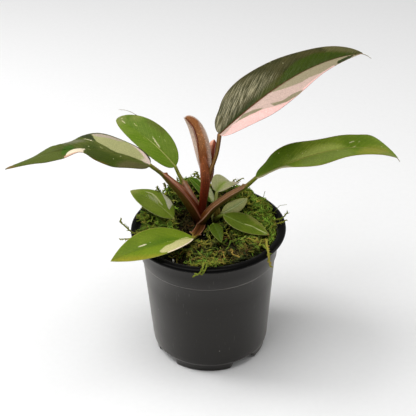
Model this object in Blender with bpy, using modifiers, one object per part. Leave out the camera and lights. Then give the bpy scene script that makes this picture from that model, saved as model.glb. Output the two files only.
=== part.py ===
"""Pink princess philodendron growing in a round black nursery pot, with moss on its soil.

Metres, +Z up. The origin is on the pot's axis, on the surface that the pot stands on, +X is to the
right and +Y is away from the viewer. Every size below is in millimetres and every angle in degrees.
"""
import math
import random

import bmesh
import bpy
from mathutils import Vector
from mathutils.bvhtree import BVHTree

MM = 0.001
GAP = 0.3  # clearance kept between pieces that touch

# Nursery pot
LIP_RADIUS = 53.0
LIP_HEIGHT = 3.0
POT_HEIGHT = 97.0
COLLAR_RADIUS = 48.4  # outside, just under the lip
STEP_HEIGHT = 76.5  # where the collar steps in to the body
STEP_WIDTH = 1.0
BODY_TOP_RADIUS = 45.9
BODY_FOOT_RADIUS = 40.6
FOOT_RADIUS = 38.4
FOOT_HEIGHT = 6.0
FOOT_TURN = -8.5  # where the front foot points, from straight at the viewer
FEET = 4
NOTCH_TOP = 16.0  # width of the gap between two feet, at its top
NOTCH_FOOT = 28.0  # width where the cutter ends, CUTTER_REACH below the ground
BEND_HEIGHT = 11.0  # where the wall starts to round into the floor
WALL = 1.0
FLOOR = 1.2
DRAIN_RADIUS = 4.5
DRAIN_OFFSET = 29.0
POT_STEPS = 44
CUTTER_REACH = 6.0  # how far a cutter runs past what it cuts

# Filling
SOIL_TOP = 86.0
CROWN = (-0.5, 9.5)  # middle of the bare hollow round the stems
CROWN_RADIUS = 12.8
MAT_LEVEL = 94.4
MAT_WAVES = 1.1
MAT_ROUNDING = 1.6  # how far the mat's two rims drop
MAT_RADIUS = 45.8
MAT_RINGS = 6
MAT_SPOKES = 32
# Tufts and dips in the mat: x, y, radius and rise. The dips lie under the two low leaves, at the
# right, where the pot's wall shows, and at the front left, where the soil does.
TUFTS = ((-27.0, 29.0, 13.0, 7.5), (-10.0, 37.0, 12.0, 8.5), (22.0, 37.0, 9.0, 4.0))
DIPS = ((6.5, -13.0, 11.0, -2.8), (41.0, -7.0, 14.0, -3.0), (-21.0, -38.0, 9.0, -5.0))

STRANDS = 260
STRAND_SIDES = 3
STRAND_RADIUS = 0.75
STRAND_LENGTH = (5.0, 10.0)
STRAND_RISE = (20.0, 45.0)
STRAND_ROOT = 1.6  # how deep a strand's root sits in the mat
STRAND_TRIES = 6
STRAND_COVER = (0.05, 0.98)  # shares of the mat's area between which the strands stand
STRAND_CROWD = 1.25  # above 1 brings the strands closer to the middle
STRAND_LEAN = 0.35  # how far a strand leans over, against its rise, below its knee
STRAND_KNEE = 0.45  # share of a strand's length below its knee
STRAND_DROOP = (-0.3, 0.7)  # the rise that is left above the knee, below 0 is drooping
TUFT_LENGTH = 0.6  # how much longer, in shares, and steeper a strand on a tuft is
TUFT_STEEP = 25.0
SEED = 11

BLADE = 0.8  # thickness of a leaf blade

# Each leaf blade follows a centre line whose pitch and heading change along it. A list is a
# polynomial in s, which runs from 0 at the base to 1 at the tip. full_base and full_tip shape the
# width, with a pair of their own where the left half is fuller. left and right are the slopes of
# the two halves at the midrib and at the margin, and a ripple adds to them round one place: side,
# where, how far, at the midrib, at the margin.
LEAVES = {
    "tall_right": dict(
        start=(8.5, 10.0, 161.9), length=113.5, width=48.1, full_base=0.53, full_tip=0.93,
        full_left=(0.42, 0.78),
        heading=(23.8, -5.2), pitch=(35.6, -8.6, -32.2), roll=(-11.6, 12.3),
        left=(29.8, 9.4), right=(11.4, 3.8),
        ripples=(("right", 0.3, 0.2, -11.6, -11.6), ("left", 0.15, 0.15, 6.7, 6.7)),
        rows=14, columns=3,
    ),
    "right": dict(
        start=(32.6, 6.0, 130.5), length=108.0, width=30.6, full_base=0.42, full_tip=0.63,
        heading=(4.0, 17.9), pitch=(25.9, -18.2, -51.1), roll=(-10.4, 19.7),
        left=(18.8, 4.9), right=(16.0, 3.9),
        ripples=(("right", 0.15, 0.1, 12.0, 12.0), ("right", 0.4, 0.12, -10.2, -10.2),
                 ("left", 0.2, 0.15, 22.4, 22.4)),
        rows=16, columns=3,
    ),
    "left": dict(
        start=(-38.0, 4.0, 143.3), length=100.0, width=32.7, full_base=0.41, full_tip=0.81,
        heading=(168.9, 47.9, 1.0), pitch=(26.8, -35.4, -35.3, 38.9), roll=(3.7, 5.3),
        left=(11.6, -13.3), right=(12.5, 3.7),
        ripples=(("left", 0.5, 0.08, 16.6, 15.9), ("right", 0.36, 0.12, 12.0, 10.0),
                 ("right", 0.6, 0.12, 36.9, -79.8), ("left", 0.75, 0.15, -2.9, -3.1),
                 ("left", 0.25, 0.12, -11.6, -12.0), ("right", 0.85, 0.15, -30.9, -53.8)),
        rows=18, columns=4,
    ),
    "back_left": dict(
        start=(-21.8, 24.0, 129.9), length=53.1, width=25.6, full_base=0.44, full_tip=0.64,
        heading=(148.8, 3.9), pitch=(43.9, -28.9, -1.5), roll=(-11.0, -7.5),
        left=(19.9, 11.0), right=(23.5, 20.2), ripples=(), rows=12, columns=3,
    ),
    "mid_left": dict(
        start=(-23.9, 8.0, 98.0), length=38.6, width=23.0, full_base=0.71, full_tip=0.95,
        heading=(147.3, -1.9), pitch=(35.4, -32.0, -10.3), roll=(1.9, -1.8),
        left=(12.7, -4.7), right=(12.2, -6.4), ripples=(), rows=10, columns=3,
    ),
    "front_left": dict(
        start=(-10.2, -17.0, 98.5), length=60.3, width=27.4, full_base=0.7, full_tip=0.99,
        heading=(205.2, 0.9), pitch=(11.7, -27.3, 6.9), roll=(2.5, -25.5),
        left=(18.6, 7.7), right=(17.4, 6.5), ripples=(), rows=12, columns=3,
    ),
    "front_right": dict(
        start=(10.6, 5.0, 101.9), length=35.2, width=18.4, full_base=0.65, full_tip=0.95,
        heading=(-28.0, -1.6), pitch=(-12.2, -4.9, 14.9), roll=(-0.7, 6.4),
        left=(16.1, 2.4), right=(16.5, 2.6), ripples=(), rows=10, columns=2,
    ),
    "mid_right": dict(
        start=(9.9, 14.0, 97.3), length=20.8, width=12.8, full_base=0.63, full_tip=0.8,
        heading=(27.6, -1.6), pitch=(8.8, 13.7, 5.0), roll=(1.9, 4.3),
        left=(12.3, -7.1), right=(11.3, -7.6), ripples=(), rows=8, columns=2,
    ),
    "back_right": dict(
        start=(6.3, 26.0, 107.2), length=22.8, width=19.5, full_base=0.58, full_tip=0.6,
        heading=(56.6, 0.3), pitch=(25.1, -47.7, -29.1), roll=(-0.3, 6.1),
        left=(19.5, 10.8), right=(19.8, 10.5), ripples=(), rows=9, columns=2,
    ),
    "back": dict(
        start=(3.6, 26.0, 99.0), length=24.5, width=13.8, full_base=0.58, full_tip=0.82,
        heading=(151.4, 5.2), pitch=(46.5, -5.4, -12.0), roll=(2.8, -0.1),
        left=(16.5, 3.2), right=(15.5, 1.1), ripples=(), rows=9, columns=2,
    ),
    "front": dict(
        start=(3.5, 0.0, 98.1), length=20.0, width=8.8, full_base=0.51, full_tip=0.93,
        heading=(-76.5, 3.1), pitch=(0.4, -18.7, 3.5), roll=(0.5, 1.9),
        left=(15.9, 1.2), right=(15.5, 1.4), ripples=(), rows=8, columns=2,
    ),
    "unfurling": dict(
        start=(-2.4, 12.5, 127.1), length=49.4, width=18.4, full_base=0.43, full_tip=0.47,
        heading=(179.8, 5.0), pitch=(79.0, 15.4, 3.6, -47.7), roll=(75.1, 13.8),
        left=(20.8, 54.3), right=(44.2, 76.9), ripples=(), rows=12, columns=3,
    ),
}

# Stems and leaf stalks: places on the centre line with the radius there. A stalk is cut clear of
# the pieces named in its second list, so it seats on them.
STALKS = {
    "stem": ([(-5.5, 12.5, 56.0, 3.4), (-5.9, 12.2, 75.0, 4.0), (-5.9, 12.0, 89.0, 4.3),
              (-5.5, 12.0, 96.5, 3.9)], ()),
    "sheath_tall": ([(-5.5, 12.0, 95.0, 3.5), (-3.5, 12.0, 107.0, 2.7), (-2.3, 12.0, 116.0, 3.1),
                     (-1.4, 12.0, 124.6, 3.3), (-1.3, 12.0, 131.5, 3.5), (-1.4, 12.0, 135.5, 2.9)],
                    ("stem",)),
    "stalk_tall_right": ([(0.4, 12.0, 125.0, 1.9), (1.6, 12.0, 131.0, 1.7), (3.7, 11.8, 137.5, 1.4),
                          (6.3, 11.0, 146.1, 1.3), (8.4, 10.05, 161.4, 1.5)], ("sheath_tall",)),
    "stalk_left": ([(-5.9, 11.5, 94.0, 4.2), (-11.4, 10.2, 107.0, 4.0), (-17.5, 9.0, 117.7, 3.4),
                    (-25.2, 7.0, 128.3, 2.4), (-30.3, 5.5, 135.2, 1.5), (-37.5, 4.1, 142.8, 1.4)],
                   ("stem", "sheath_tall")),
    "stalk_right": ([(-5.3, 10.5, 91.5, 3.4), (-3.2, 8.3, 96.6, 3.2), (2.7, 8.6, 104.6, 2.8),
                     (9.7, 8.8, 110.8, 2.5), (17.2, 8.3, 116.6, 2.2), (25.3, 7.3, 122.6, 1.6),
                     (32.2, 6.1, 130.1, 1.3)], ("stem", "sheath_tall", "stalk_left")),
    "stalk_back_left": ([(-5.8, 13.0, 94.0, 2.8), (-7.8, 16.8, 100.8, 2.7), (-12.2, 18.8, 109.8, 2.4),
                         (-16.9, 22.0, 118.4, 1.8), (-19.4, 23.1, 123.5, 1.3), (-21.6, 23.9, 129.4, 1.2)],
                        ("stem", "sheath_tall", "stalk_left")),
    "stalk_front_left": ([(-5.0, 9.5, 91.0, 2.6), (-5.8, 1.0, 93.4, 2.7), (-8.0, -8.0, 95.6, 2.1),
                          (-10.0, -16.5, 98.2, 1.3)], ("stem", "stalk_right")),
    "stalk_mid_left": ([(-20.5, 7.0, 80.0, 1.3), (-22.3, 7.4, 90.0, 1.3), (-23.7, 7.9, 97.5, 1.1)], ()),
    "stalk_front": ([(1.8, 8.0, 80.0, 1.2), (2.6, 4.0, 92.0, 1.2), (3.4, 0.4, 97.8, 0.9)], ()),
    "side_stem": ([(6.2, 13.6, 70.0, 2.2), (5.8, 13.2, 85.0, 2.6), (5.4, 12.6, 95.4, 2.4)], ()),
    "stalk_front_right": ([(5.0, 11.5, 93.5, 1.7), (7.6, 7.4, 99.2, 1.4), (10.3, 5.3, 101.7, 1.1)],
                          ("side_stem",)),
    "stalk_mid_right": ([(5.4, 12.8, 92.5, 1.4), (9.55, 13.9, 97.0, 1.0)],
                        ("side_stem", "stalk_front_right")),
    "stalk_back_right": ([(5.4, 13.5, 92.0, 1.5), (5.0, 20.0, 99.4, 1.4), (6.1, 25.6, 106.7, 1.1)],
                         ("side_stem",)),
    "stalk_back": ([(4.4, 13.5, 89.0, 1.3), (2.6, 20.0, 93.5, 1.2), (3.5, 25.6, 98.6, 1.0)],
                   ("side_stem", "stem", "stalk_back_right")),
    "bract_low": ([(5.6, 12.2, 96.2, 1.9), (6.7, 12.2, 100.0, 1.8), (7.3, 12.2, 104.0, 0.5)],
                  ("side_stem", "stalk_front_right", "stalk_mid_right")),
    "bract_tall": ([(3.2, 14.3, 128.0, 1.1), (3.5, 17.0, 133.0, 1.5), (3.5, 19.4, 139.2, 2.1),
                    (4.0, 19.9, 145.6, 2.5), (4.7, 19.8, 150.4, 1.7), (4.9, 19.7, 152.2, 0.7)],
                   ("stalk_tall_right", "sheath_tall")),
}
IN_SOIL = ("stem", "side_stem", "stalk_mid_left", "stalk_front")
OVER_MOSS = ("stalk_front_left", "stalk_mid_left", "stalk_front", "stalk_back", "stalk_back_right",
             "stalk_left", "stalk_back_left", "stalk_right", "stalk_front_right", "stalk_mid_right")

# Strands of moss that hang over the lip or stand out past it
LONG_STRANDS = (
    [(-38.0, -8.0, 92.0), (-44.0, -9.5, 98.3), (-51.0, -11.0, 98.6), (-57.9, -11.0, 102.7), (-60.3, -11.0, 108.5)],
    [(-38.0, -14.0, 92.0), (-43.0, -15.5, 98.3), (-51.0, -17.0, 98.6), (-60.4, -17.5, 97.4)],
    [(40.0, 2.0, 90.0), (44.8, 2.5, 98.2), (50.7, 3.0, 99.8), (54.4, 3.0, 105.0)],
    [(-3.0, -41.0, 92.0), (-3.6, -46.5, 98.3), (-4.2, -52.0, 98.5), (-6.5, -55.0, 94.6), (-10.8, -55.0, 93.0)],
    [(0.0, -42.0, 93.0), (-1.0, -47.0, 98.3), (-2.6, -53.2, 98.4), (-5.0, -55.2, 95.8)],
    [(36.0, -17.0, 90.0), (38.6, -23.0, 98.5), (41.0, -34.6, 98.9), (42.6, -36.4, 93.5), (42.2, -36.0, 87.0)],
    [(16.0, 38.0, 95.0), (18.0, 41.0, 101.5), (21.6, 42.0, 106.2), (25.6, 42.0, 108.6)],
    [(-5.0, 38.0, 99.0), (-6.5, 42.0, 109.5), (-7.6, 42.5, 114.2)],
    [(-6.0, 39.5, 98.0), (-7.0, 44.6, 101.0), (-9.0, 54.6, 100.0)],
)

COLOURS = {
    "plastic": ("343230", 0.45),
    "soil": ("241c15", 0.95),
    "moss": ("5a681f", 0.95),
    "stem": ("55230f", 0.5),
    "stalk": ("6b3a1e", 0.45),
    "leaf": ("5f7d2a", 0.4),
    "pink_leaf": ("8d7f62", 0.4),
    "new_leaf": ("9a5f41", 0.4),
    "bract": ("a4552f", 0.5),
}


def clear_scene():
    for obj in list(bpy.data.objects):
        bpy.data.objects.remove(obj)


def new_collection(name, shown=True):
    collection = bpy.data.collections.new(name)
    bpy.context.scene.collection.children.link(collection)
    collection.hide_render = not shown
    return collection


def linear(hex_colour):
    channels = [int(hex_colour[i : i + 2], 16) / 255 for i in (0, 2, 4)]
    return [c / 12.92 if c <= 0.04045 else ((c + 0.055) / 1.055) ** 2.4 for c in channels] + [1.0]


def material(name):
    found = bpy.data.materials.get(name)
    if found:
        return found
    hex_colour, roughness = COLOURS[name]
    made = bpy.data.materials.new(name)
    made.use_nodes = True
    shader = made.node_tree.nodes["Principled BSDF"]
    shader.inputs["Base Color"].default_value = linear(hex_colour)
    shader.inputs["Roughness"].default_value = roughness
    return made


def add_object(name, data, collection, material_name=None):
    obj = bpy.data.objects.new(name, data)
    collection.objects.link(obj)
    if material_name:
        data.materials.append(material(material_name))
    return obj


def add_cutter(name, data):
    obj = add_object(name, data, CUTTERS)
    obj.hide_render = True
    obj.display_type = "WIRE"
    return obj


def mesh_from(name, points, faces):
    mesh = bpy.data.meshes.new(name)
    mesh.from_pydata([Vector(p) * MM for p in points], [], faces)
    bm = bmesh.new()
    bm.from_mesh(mesh)
    bmesh.ops.recalc_face_normals(bm, faces=bm.faces)
    bmesh.ops.triangulate(bm, faces=bm.faces)
    bm.to_mesh(mesh)
    bm.free()
    return mesh


def cut(obj, cutter):
    boolean = obj.modifiers.new("Cut " + cutter.name, "BOOLEAN")
    boolean.operation = "DIFFERENCE"
    boolean.object = cutter


def evaluated_mesh(obj):
    bpy.context.view_layer.update()
    graph = bpy.context.evaluated_depsgraph_get()
    return bpy.data.meshes.new_from_object(obj.evaluated_get(graph))


def turned(name, profile, material_name):
    """A profile of radius and height, turned about Z by a Screw modifier."""
    mesh = bpy.data.meshes.new(name)
    points = [Vector((radius, 0.0, height)) * MM for radius, height in profile]
    mesh.from_pydata(points, [(i, i + 1) for i in range(len(points) - 1)], [])
    obj = add_object(name, mesh, PARTS, material_name)
    screw = obj.modifiers.new("Turn", "SCREW")
    screw.steps = POT_STEPS
    screw.render_steps = POT_STEPS
    screw.use_merge_vertices = True
    screw.merge_threshold = 0.00001
    return obj


def body_radius(height):
    """Outside radius of the pot below its step."""
    share = (height - FOOT_HEIGHT) / (STEP_HEIGHT - FOOT_HEIGHT)
    return BODY_FOOT_RADIUS + (BODY_TOP_RADIUS - BODY_FOOT_RADIUS) * share


def collar_radius(height):
    """Outside radius of the pot between its step and its lip."""
    step_radius = BODY_TOP_RADIUS + STEP_WIDTH
    share = (height - STEP_HEIGHT) / (POT_HEIGHT - LIP_HEIGHT - STEP_HEIGHT)
    return step_radius + (COLLAR_RADIUS - step_radius) * share


def make_pot():
    under_lip = POT_HEIGHT - LIP_HEIGHT
    floor_top = FOOT_HEIGHT + FLOOR
    profile = [
        (0.0, floor_top),
        (body_radius(floor_top) - WALL - 2.0, floor_top),
        (body_radius(BEND_HEIGHT) - WALL, BEND_HEIGHT),
        (body_radius(STEP_HEIGHT) - WALL, STEP_HEIGHT + 0.5),
        (collar_radius(STEP_HEIGHT) - WALL, STEP_HEIGHT + 1.6),
        (COLLAR_RADIUS - WALL, POT_HEIGHT - 1.2),
        (COLLAR_RADIUS - 0.2, POT_HEIGHT - 0.3),
        (COLLAR_RADIUS + 1.6, POT_HEIGHT),
        (LIP_RADIUS - 1.0, POT_HEIGHT - 0.2),
        (LIP_RADIUS, POT_HEIGHT - 1.2),
        (LIP_RADIUS, under_lip + 0.6),
        (LIP_RADIUS - 0.8, under_lip),
        (COLLAR_RADIUS, under_lip),
        (collar_radius(STEP_HEIGHT), STEP_HEIGHT),
        (BODY_TOP_RADIUS, STEP_HEIGHT - 1.0),
        (body_radius(BEND_HEIGHT), BEND_HEIGHT),
        (body_radius(FOOT_HEIGHT), FOOT_HEIGHT + 0.8),
        (FOOT_RADIUS + 0.9, FOOT_HEIGHT - 0.6),
        (FOOT_RADIUS + 0.4, 0.9),
        (FOOT_RADIUS, 0.0),
        (FOOT_RADIUS - 2.2, 0.0),
        (FOOT_RADIUS - 2.2, FOOT_HEIGHT),
        (0.0, FOOT_HEIGHT),
    ]
    pot = turned("pot", profile, "plastic")
    for k in range(FEET):
        angle = math.radians(FOOT_TURN - 90 + (k + 0.5) * 360 / FEET)
        cut(pot, notch_cutter(k, angle))
        cut(pot, drain_cutter(k, angle))
    return pot


def notch_cutter(k, angle):
    """A block that narrows upwards, for the gap between two feet."""
    bm = bmesh.new()
    bmesh.ops.create_cube(bm, size=1.0)
    top = FOOT_HEIGHT - 0.4
    for vert in bm.verts:
        half, height = (NOTCH_TOP / 2, top) if vert.co.z > 0 else (NOTCH_FOOT / 2, -CUTTER_REACH)
        reach = FOOT_RADIUS + math.copysign(CUTTER_REACH, vert.co.x)
        vert.co = Vector((reach, math.copysign(half, vert.co.y), height)) * MM
    mesh = bpy.data.meshes.new("notch")
    bm.to_mesh(mesh)
    bm.free()
    cutter = add_cutter(f"notch_{k}", mesh)
    cutter.rotation_euler.z = angle
    return cutter


def drain_cutter(k, angle):
    bm = bmesh.new()
    bmesh.ops.create_cone(bm, cap_ends=True, segments=16, radius1=DRAIN_RADIUS * MM,
                          radius2=DRAIN_RADIUS * MM, depth=CUTTER_REACH * MM)
    mesh = bpy.data.meshes.new("drain")
    bm.to_mesh(mesh)
    bm.free()
    cutter = add_cutter(f"drain_{k}", mesh)
    cutter.location = (DRAIN_OFFSET * MM * math.cos(angle), DRAIN_OFFSET * MM * math.sin(angle),
                       (FOOT_HEIGHT + FLOOR / 2) * MM)
    return cutter


def make_soil():
    """The filling follows the pot's inside, and the stems stand in plain holes in it."""
    inside = WALL + GAP + 0.1
    bottom = FOOT_HEIGHT + FLOOR + GAP
    profile = [
        (0.0, SOIL_TOP),
        (collar_radius(SOIL_TOP) - inside, SOIL_TOP),
        (collar_radius(STEP_HEIGHT) - inside, STEP_HEIGHT + 2.0),
        (body_radius(STEP_HEIGHT) - inside, STEP_HEIGHT + 0.5),
        (body_radius(BEND_HEIGHT) - inside, BEND_HEIGHT + GAP),
        (body_radius(bottom) - inside - 2.2, bottom),
        (0.0, bottom),
    ]
    soil = turned("soil", profile, "soil")
    for name in IN_SOIL:
        cut(soil, stalk_cutter(name, GAP))
    return soil


def curve_tube(name, places, grow):
    """A mesh tube through the places, from a bevelled curve. grow makes it that much larger all over."""
    curve = bpy.data.curves.new(name, "CURVE")
    curve.dimensions = "3D"
    curve.bevel_depth = MM
    curve.bevel_resolution = 2
    curve.use_fill_caps = True
    curve.resolution_u = 3
    spline = curve.splines.new("BEZIER")
    spline.bezier_points.add(len(places) - 1)
    ends = [Vector(place[:3]) for place in places]
    ends[0] += (ends[0] - ends[1]).normalized() * grow
    ends[-1] += (ends[-1] - ends[-2]).normalized() * grow
    for point, co, place in zip(spline.bezier_points, ends, places):
        point.co = co * MM
        point.radius = place[3] + grow
        point.handle_left_type = "AUTO"
        point.handle_right_type = "AUTO"
    guide = add_object(name + "_guide", curve, CUTTERS)
    mesh = evaluated_mesh(guide)
    bpy.data.objects.remove(guide)
    bm = bmesh.new()
    bm.from_mesh(mesh)
    bmesh.ops.remove_doubles(bm, verts=bm.verts, dist=0.00001)
    bmesh.ops.recalc_face_normals(bm, faces=bm.faces)
    bm.to_mesh(mesh)
    bm.free()
    mesh.materials.clear()
    return mesh


def stalk_cutter(name, clearance):
    cutter_name = f"{name}_clear_{round(clearance * 100)}"
    found = bpy.data.objects.get(cutter_name)
    return found or add_cutter(cutter_name, curve_tube(cutter_name, STALKS[name][0], clearance))


def make_stalks():
    for name, (places, seats) in STALKS.items():
        finish = "bract" if name.startswith("bract") else "stem" if "stem" in name else "stalk"
        stalk = add_object(name, curve_tube(name, places, 0.0), PARTS, finish)
        for seat in seats:
            cut(stalk, stalk_cutter(seat, GAP + 0.05))
        apply_modifiers(stalk)
        keep_largest(stalk)


def polynomial(terms, s):
    return sum(term * s**power for power, term in enumerate(terms))


def blade_axes(leaf, s):
    """Unit vectors along the blade, to its left and out of its upper face."""
    pitch = math.radians(polynomial(leaf["pitch"], s))
    heading = math.radians(polynomial(leaf["heading"], s))
    roll = math.radians(polynomial(leaf["roll"], s))
    along = Vector((math.cos(pitch) * math.cos(heading), math.cos(pitch) * math.sin(heading), math.sin(pitch)))
    level = Vector((-math.sin(heading), math.cos(heading), 0.0))
    rising = along.cross(level)
    left = level * math.cos(roll) + rising * math.sin(roll)
    up = rising * math.cos(roll) - level * math.sin(roll)
    return along, left, up


def centre_line(leaf, steps=60):
    points = [Vector(leaf["start"])]
    stride = leaf["length"] / steps
    for i in range(steps):
        before = blade_axes(leaf, i / steps)[0]
        after = blade_axes(leaf, (i + 1) / steps)[0]
        points.append(points[-1] + (before + after) * stride / 2)
    return points


def at_share(points, s):
    place = s * (len(points) - 1)
    i = min(int(place), len(points) - 2)
    return points[i].lerp(points[i + 1], place - i)


def half_width(leaf, side, s):
    base, tip = leaf.get("full_" + side, (leaf["full_base"], leaf["full_tip"]))
    widest = base / (base + tip)
    return leaf["width"] / 2 * (s / widest) ** base * ((1 - s) / (1 - widest)) ** tip


def slopes(leaf, side, s):
    inner, outer = leaf[side]
    for ripple_side, where, reach, at_rib, at_edge in leaf["ripples"]:
        if ripple_side == side:
            bell = math.exp(-(((s - where) / reach) ** 2))
            inner += at_rib * bell
            outer += at_edge * bell
    return math.radians(inner), math.radians(outer)


def blade_row(leaf, line, s, columns):
    """Points across the blade from its right margin over the midrib to its left margin."""
    _, left, up = blade_axes(leaf, s)
    centre = at_share(line, s)
    row = []
    for column in range(-columns, columns + 1):
        side, turn = ("left", 1) if column > 0 else ("right", -1)
        inner, outer = slopes(leaf, side, s)
        bend = outer - inner or 1e-6
        share = abs(column) / columns
        reach = half_width(leaf, side, s) / bend
        across = reach * (math.sin(inner + bend * share) - math.sin(inner))
        lift = reach * (math.cos(inner) - math.cos(inner + bend * share))
        row.append(centre + left * (turn * across) + up * lift)
    return row


def blade_mesh(name, leaf):
    """The blade's middle surface, pointed at both ends, in triangles."""
    line = centre_line(leaf)
    rows, columns = leaf["rows"], leaf["columns"]
    shares = [(1 - math.cos(math.pi * i / rows)) / 2 for i in range(1, rows)]
    points = [line[0]]
    for s in shares:
        points += blade_row(leaf, line, s, columns)
    points.append(line[-1])
    across = 2 * columns + 1
    faces = []
    for i in range(2 * columns):
        faces.append((0, 1 + i, 2 + i))
        last = 1 + (rows - 2) * across + i
        faces.append((len(points) - 1, last + 1, last))
    for row in range(rows - 2):
        for i in range(2 * columns):
            a = 1 + row * across + i
            b = a + across
            faces.append((a, b, a + 1) if i < columns else (a, b, b + 1))
            faces.append((b, b + 1, a + 1) if i < columns else (a, b + 1, a + 1))
    return mesh_from(name, points, faces)


def make_leaves():
    finishes = {"tall_right": "pink_leaf", "left": "pink_leaf", "unfurling": "new_leaf"}
    for key, leaf in LEAVES.items():
        obj = add_object("leaf_" + key, blade_mesh(key, leaf), PARTS, finishes.get(key, "leaf"))
        solidify = obj.modifiers.new("Thickness", "SOLIDIFY")
        solidify.thickness = BLADE * MM
        solidify.offset = 0.0
        if key == "unfurling":
            cut(obj, stalk_cutter("sheath_tall", GAP))
            cut(obj, stalk_cutter("stalk_tall_right", GAP))


def surfaces_of(objects):
    """One search tree of all these objects' surfaces."""
    points, faces = [], []
    for obj in objects:
        mesh = evaluated_mesh(obj)
        start = len(points)
        points += [vert.co.copy() for vert in mesh.vertices]
        faces += [[start + i for i in polygon.vertices] for polygon in mesh.polygons]
        bpy.data.meshes.remove(mesh)
    return BVHTree.FromPolygons(points, faces)


def mound(x, y, mounds):
    """Height that round tufts or dips add at a place."""
    return sum(rise * math.exp(-((x - cx) ** 2 + (y - cy) ** 2) / reach**2) for cx, cy, reach, rise in mounds)


def relief(x, y):
    """Height of the moss mat: uneven cushions with their tufts and dips."""
    waves = math.sin(x * 0.31 + 1.1) * math.cos(y * 0.27 - 0.4) + 0.6 * math.sin(x * 0.17 - y * 0.4)
    return MAT_LEVEL + MAT_WAVES * waves + mound(x, y, TUFTS) + mound(x, y, DIPS)


def mat_place(turn, share):
    """A place on the mat: share 0 is the edge of the hollow, share 1 the pot's wall."""
    inner = CROWN_RADIUS * (1 + 0.12 * math.sin(3 * turn + 0.6) + 0.08 * math.sin(5 * turn))
    near = Vector((CROWN[0] + inner * math.cos(turn), CROWN[1] + inner * math.sin(turn)))
    far = Vector((MAT_RADIUS * math.cos(turn), MAT_RADIUS * math.sin(turn)))
    return near.lerp(far, share)


def moss_mat():
    """Rings of points run up the hollow's side, over the relief, down the wall and back below."""
    bottom = SOIL_TOP + GAP
    shares = [i / (MAT_RINGS - 1) for i in range(MAT_RINGS)]
    points = []
    for i in range(MAT_SPOKES):
        turn = 2 * math.pi * i / MAT_SPOKES
        places = [mat_place(turn, share) for share in shares]
        points.append((*places[0], bottom))
        for place, share in zip(places, shares):
            rounding = MAT_ROUNDING if share in (0, 1) else 0.0
            points.append((*place, relief(*place) - rounding))
        points.append((*places[-1], bottom))
    around = MAT_RINGS + 2
    faces = []
    for i in range(MAT_SPOKES):
        a, b = i * around, (i + 1) % MAT_SPOKES * around
        for j in range(around):
            k = (j + 1) % around
            faces.append((a + j, b + j, b + k, a + k))
    return mesh_from("moss", points, faces)


def strand_mesh(name, route, radius):
    """A thin strand with few sides, pointed at its tip."""
    points, faces = [], []
    sides = range(STRAND_SIDES)
    for i, place in enumerate(route[:-1]):
        ahead = (route[min(i + 1, len(route) - 1)] - route[max(i - 1, 0)]).normalized()
        first = ahead.cross(Vector((0.3, 0.9, 0.2))).normalized()
        second = ahead.cross(first)
        size = radius * (1 - 0.3 * i / (len(route) - 1))
        for side in sides:
            turn = 2 * math.pi * side / STRAND_SIDES
            points.append(place + (first * math.cos(turn) + second * math.sin(turn)) * size)
    tip = len(points)
    points.append(route[-1])
    for i in range(len(route) - 1):
        for side in sides:
            a = i * STRAND_SIDES + side
            b = i * STRAND_SIDES + (side + 1) % STRAND_SIDES
            if i < len(route) - 2:
                faces.append((a, b, b + STRAND_SIDES, a + STRAND_SIDES))
            else:
                faces.append((a, b, tip))
    faces.append(tuple(sides))
    return mesh_from(name, points, faces)


def is_clear(route, radius, obstacles):
    """Whether a strand keeps clear of every other piece."""
    for start, end in zip(route, route[1:]):
        for k in range(5):
            place = start.lerp(end, k / 4)
            if obstacles.find_nearest(place * MM, (radius + GAP + 0.15) * MM)[0] is not None:
                return False
    return True


def strand_routes(obstacles):
    """Strands spread evenly over the mat, longer and steeper on the tuft."""
    draw = random.Random(SEED)
    routes = []
    golden = math.pi * (3 - math.sqrt(5))
    for i in range(STRANDS):
        far = math.sqrt(STRAND_COVER[0] + (STRAND_COVER[1] - STRAND_COVER[0]) * (i + 0.5) / STRANDS)
        place = mat_place(golden * i, far**STRAND_CROWD)
        root = Vector((*place, relief(*place) - STRAND_ROOT))
        tuft = mound(*place, TUFTS) / max(rise for *_, rise in TUFTS)
        for _ in range(STRAND_TRIES):
            turn = draw.uniform(0, 2 * math.pi)
            steep = draw.uniform(*STRAND_RISE) + TUFT_STEEP * tuft
            length = draw.uniform(*STRAND_LENGTH) * (1 + TUFT_LENGTH * tuft)
            outward = Vector((math.cos(turn), math.sin(turn), 0.0))
            rise = Vector((0, 0, math.sin(math.radians(steep))))
            lower = (outward * STRAND_LEAN + rise).normalized()
            upper = (outward + rise * draw.uniform(*STRAND_DROOP)).normalized()
            knee = root + lower * (length * STRAND_KNEE + STRAND_ROOT)
            route = [root, knee, knee + upper * length * (1 - STRAND_KNEE)]
            if is_clear(route, STRAND_RADIUS, obstacles):
                routes.append(route)
                break
    for line in LONG_STRANDS:
        routes.append([Vector(place) for place in line])
    return routes


def keep_largest(obj):
    """Drops the loose scraps that a Boolean leaves."""
    bm = bmesh.new()
    bm.from_mesh(obj.data)
    left = set(bm.verts)
    bodies = []
    while left:
        body = {left.pop()}
        edge = set(body)
        while edge:
            edge = {e.other_vert(v) for v in edge for e in v.link_edges} & left
            left -= edge
            body |= edge
        bodies.append(body)
    bodies.sort(key=len)
    scraps = [vert for body in bodies[:-1] for vert in body]
    bmesh.ops.delete(bm, geom=scraps, context="VERTS")
    bm.to_mesh(obj.data)
    bm.free()


def apply_modifiers(obj):
    mesh = evaluated_mesh(obj)
    obj.modifiers.clear()
    obj.data = mesh


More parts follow.
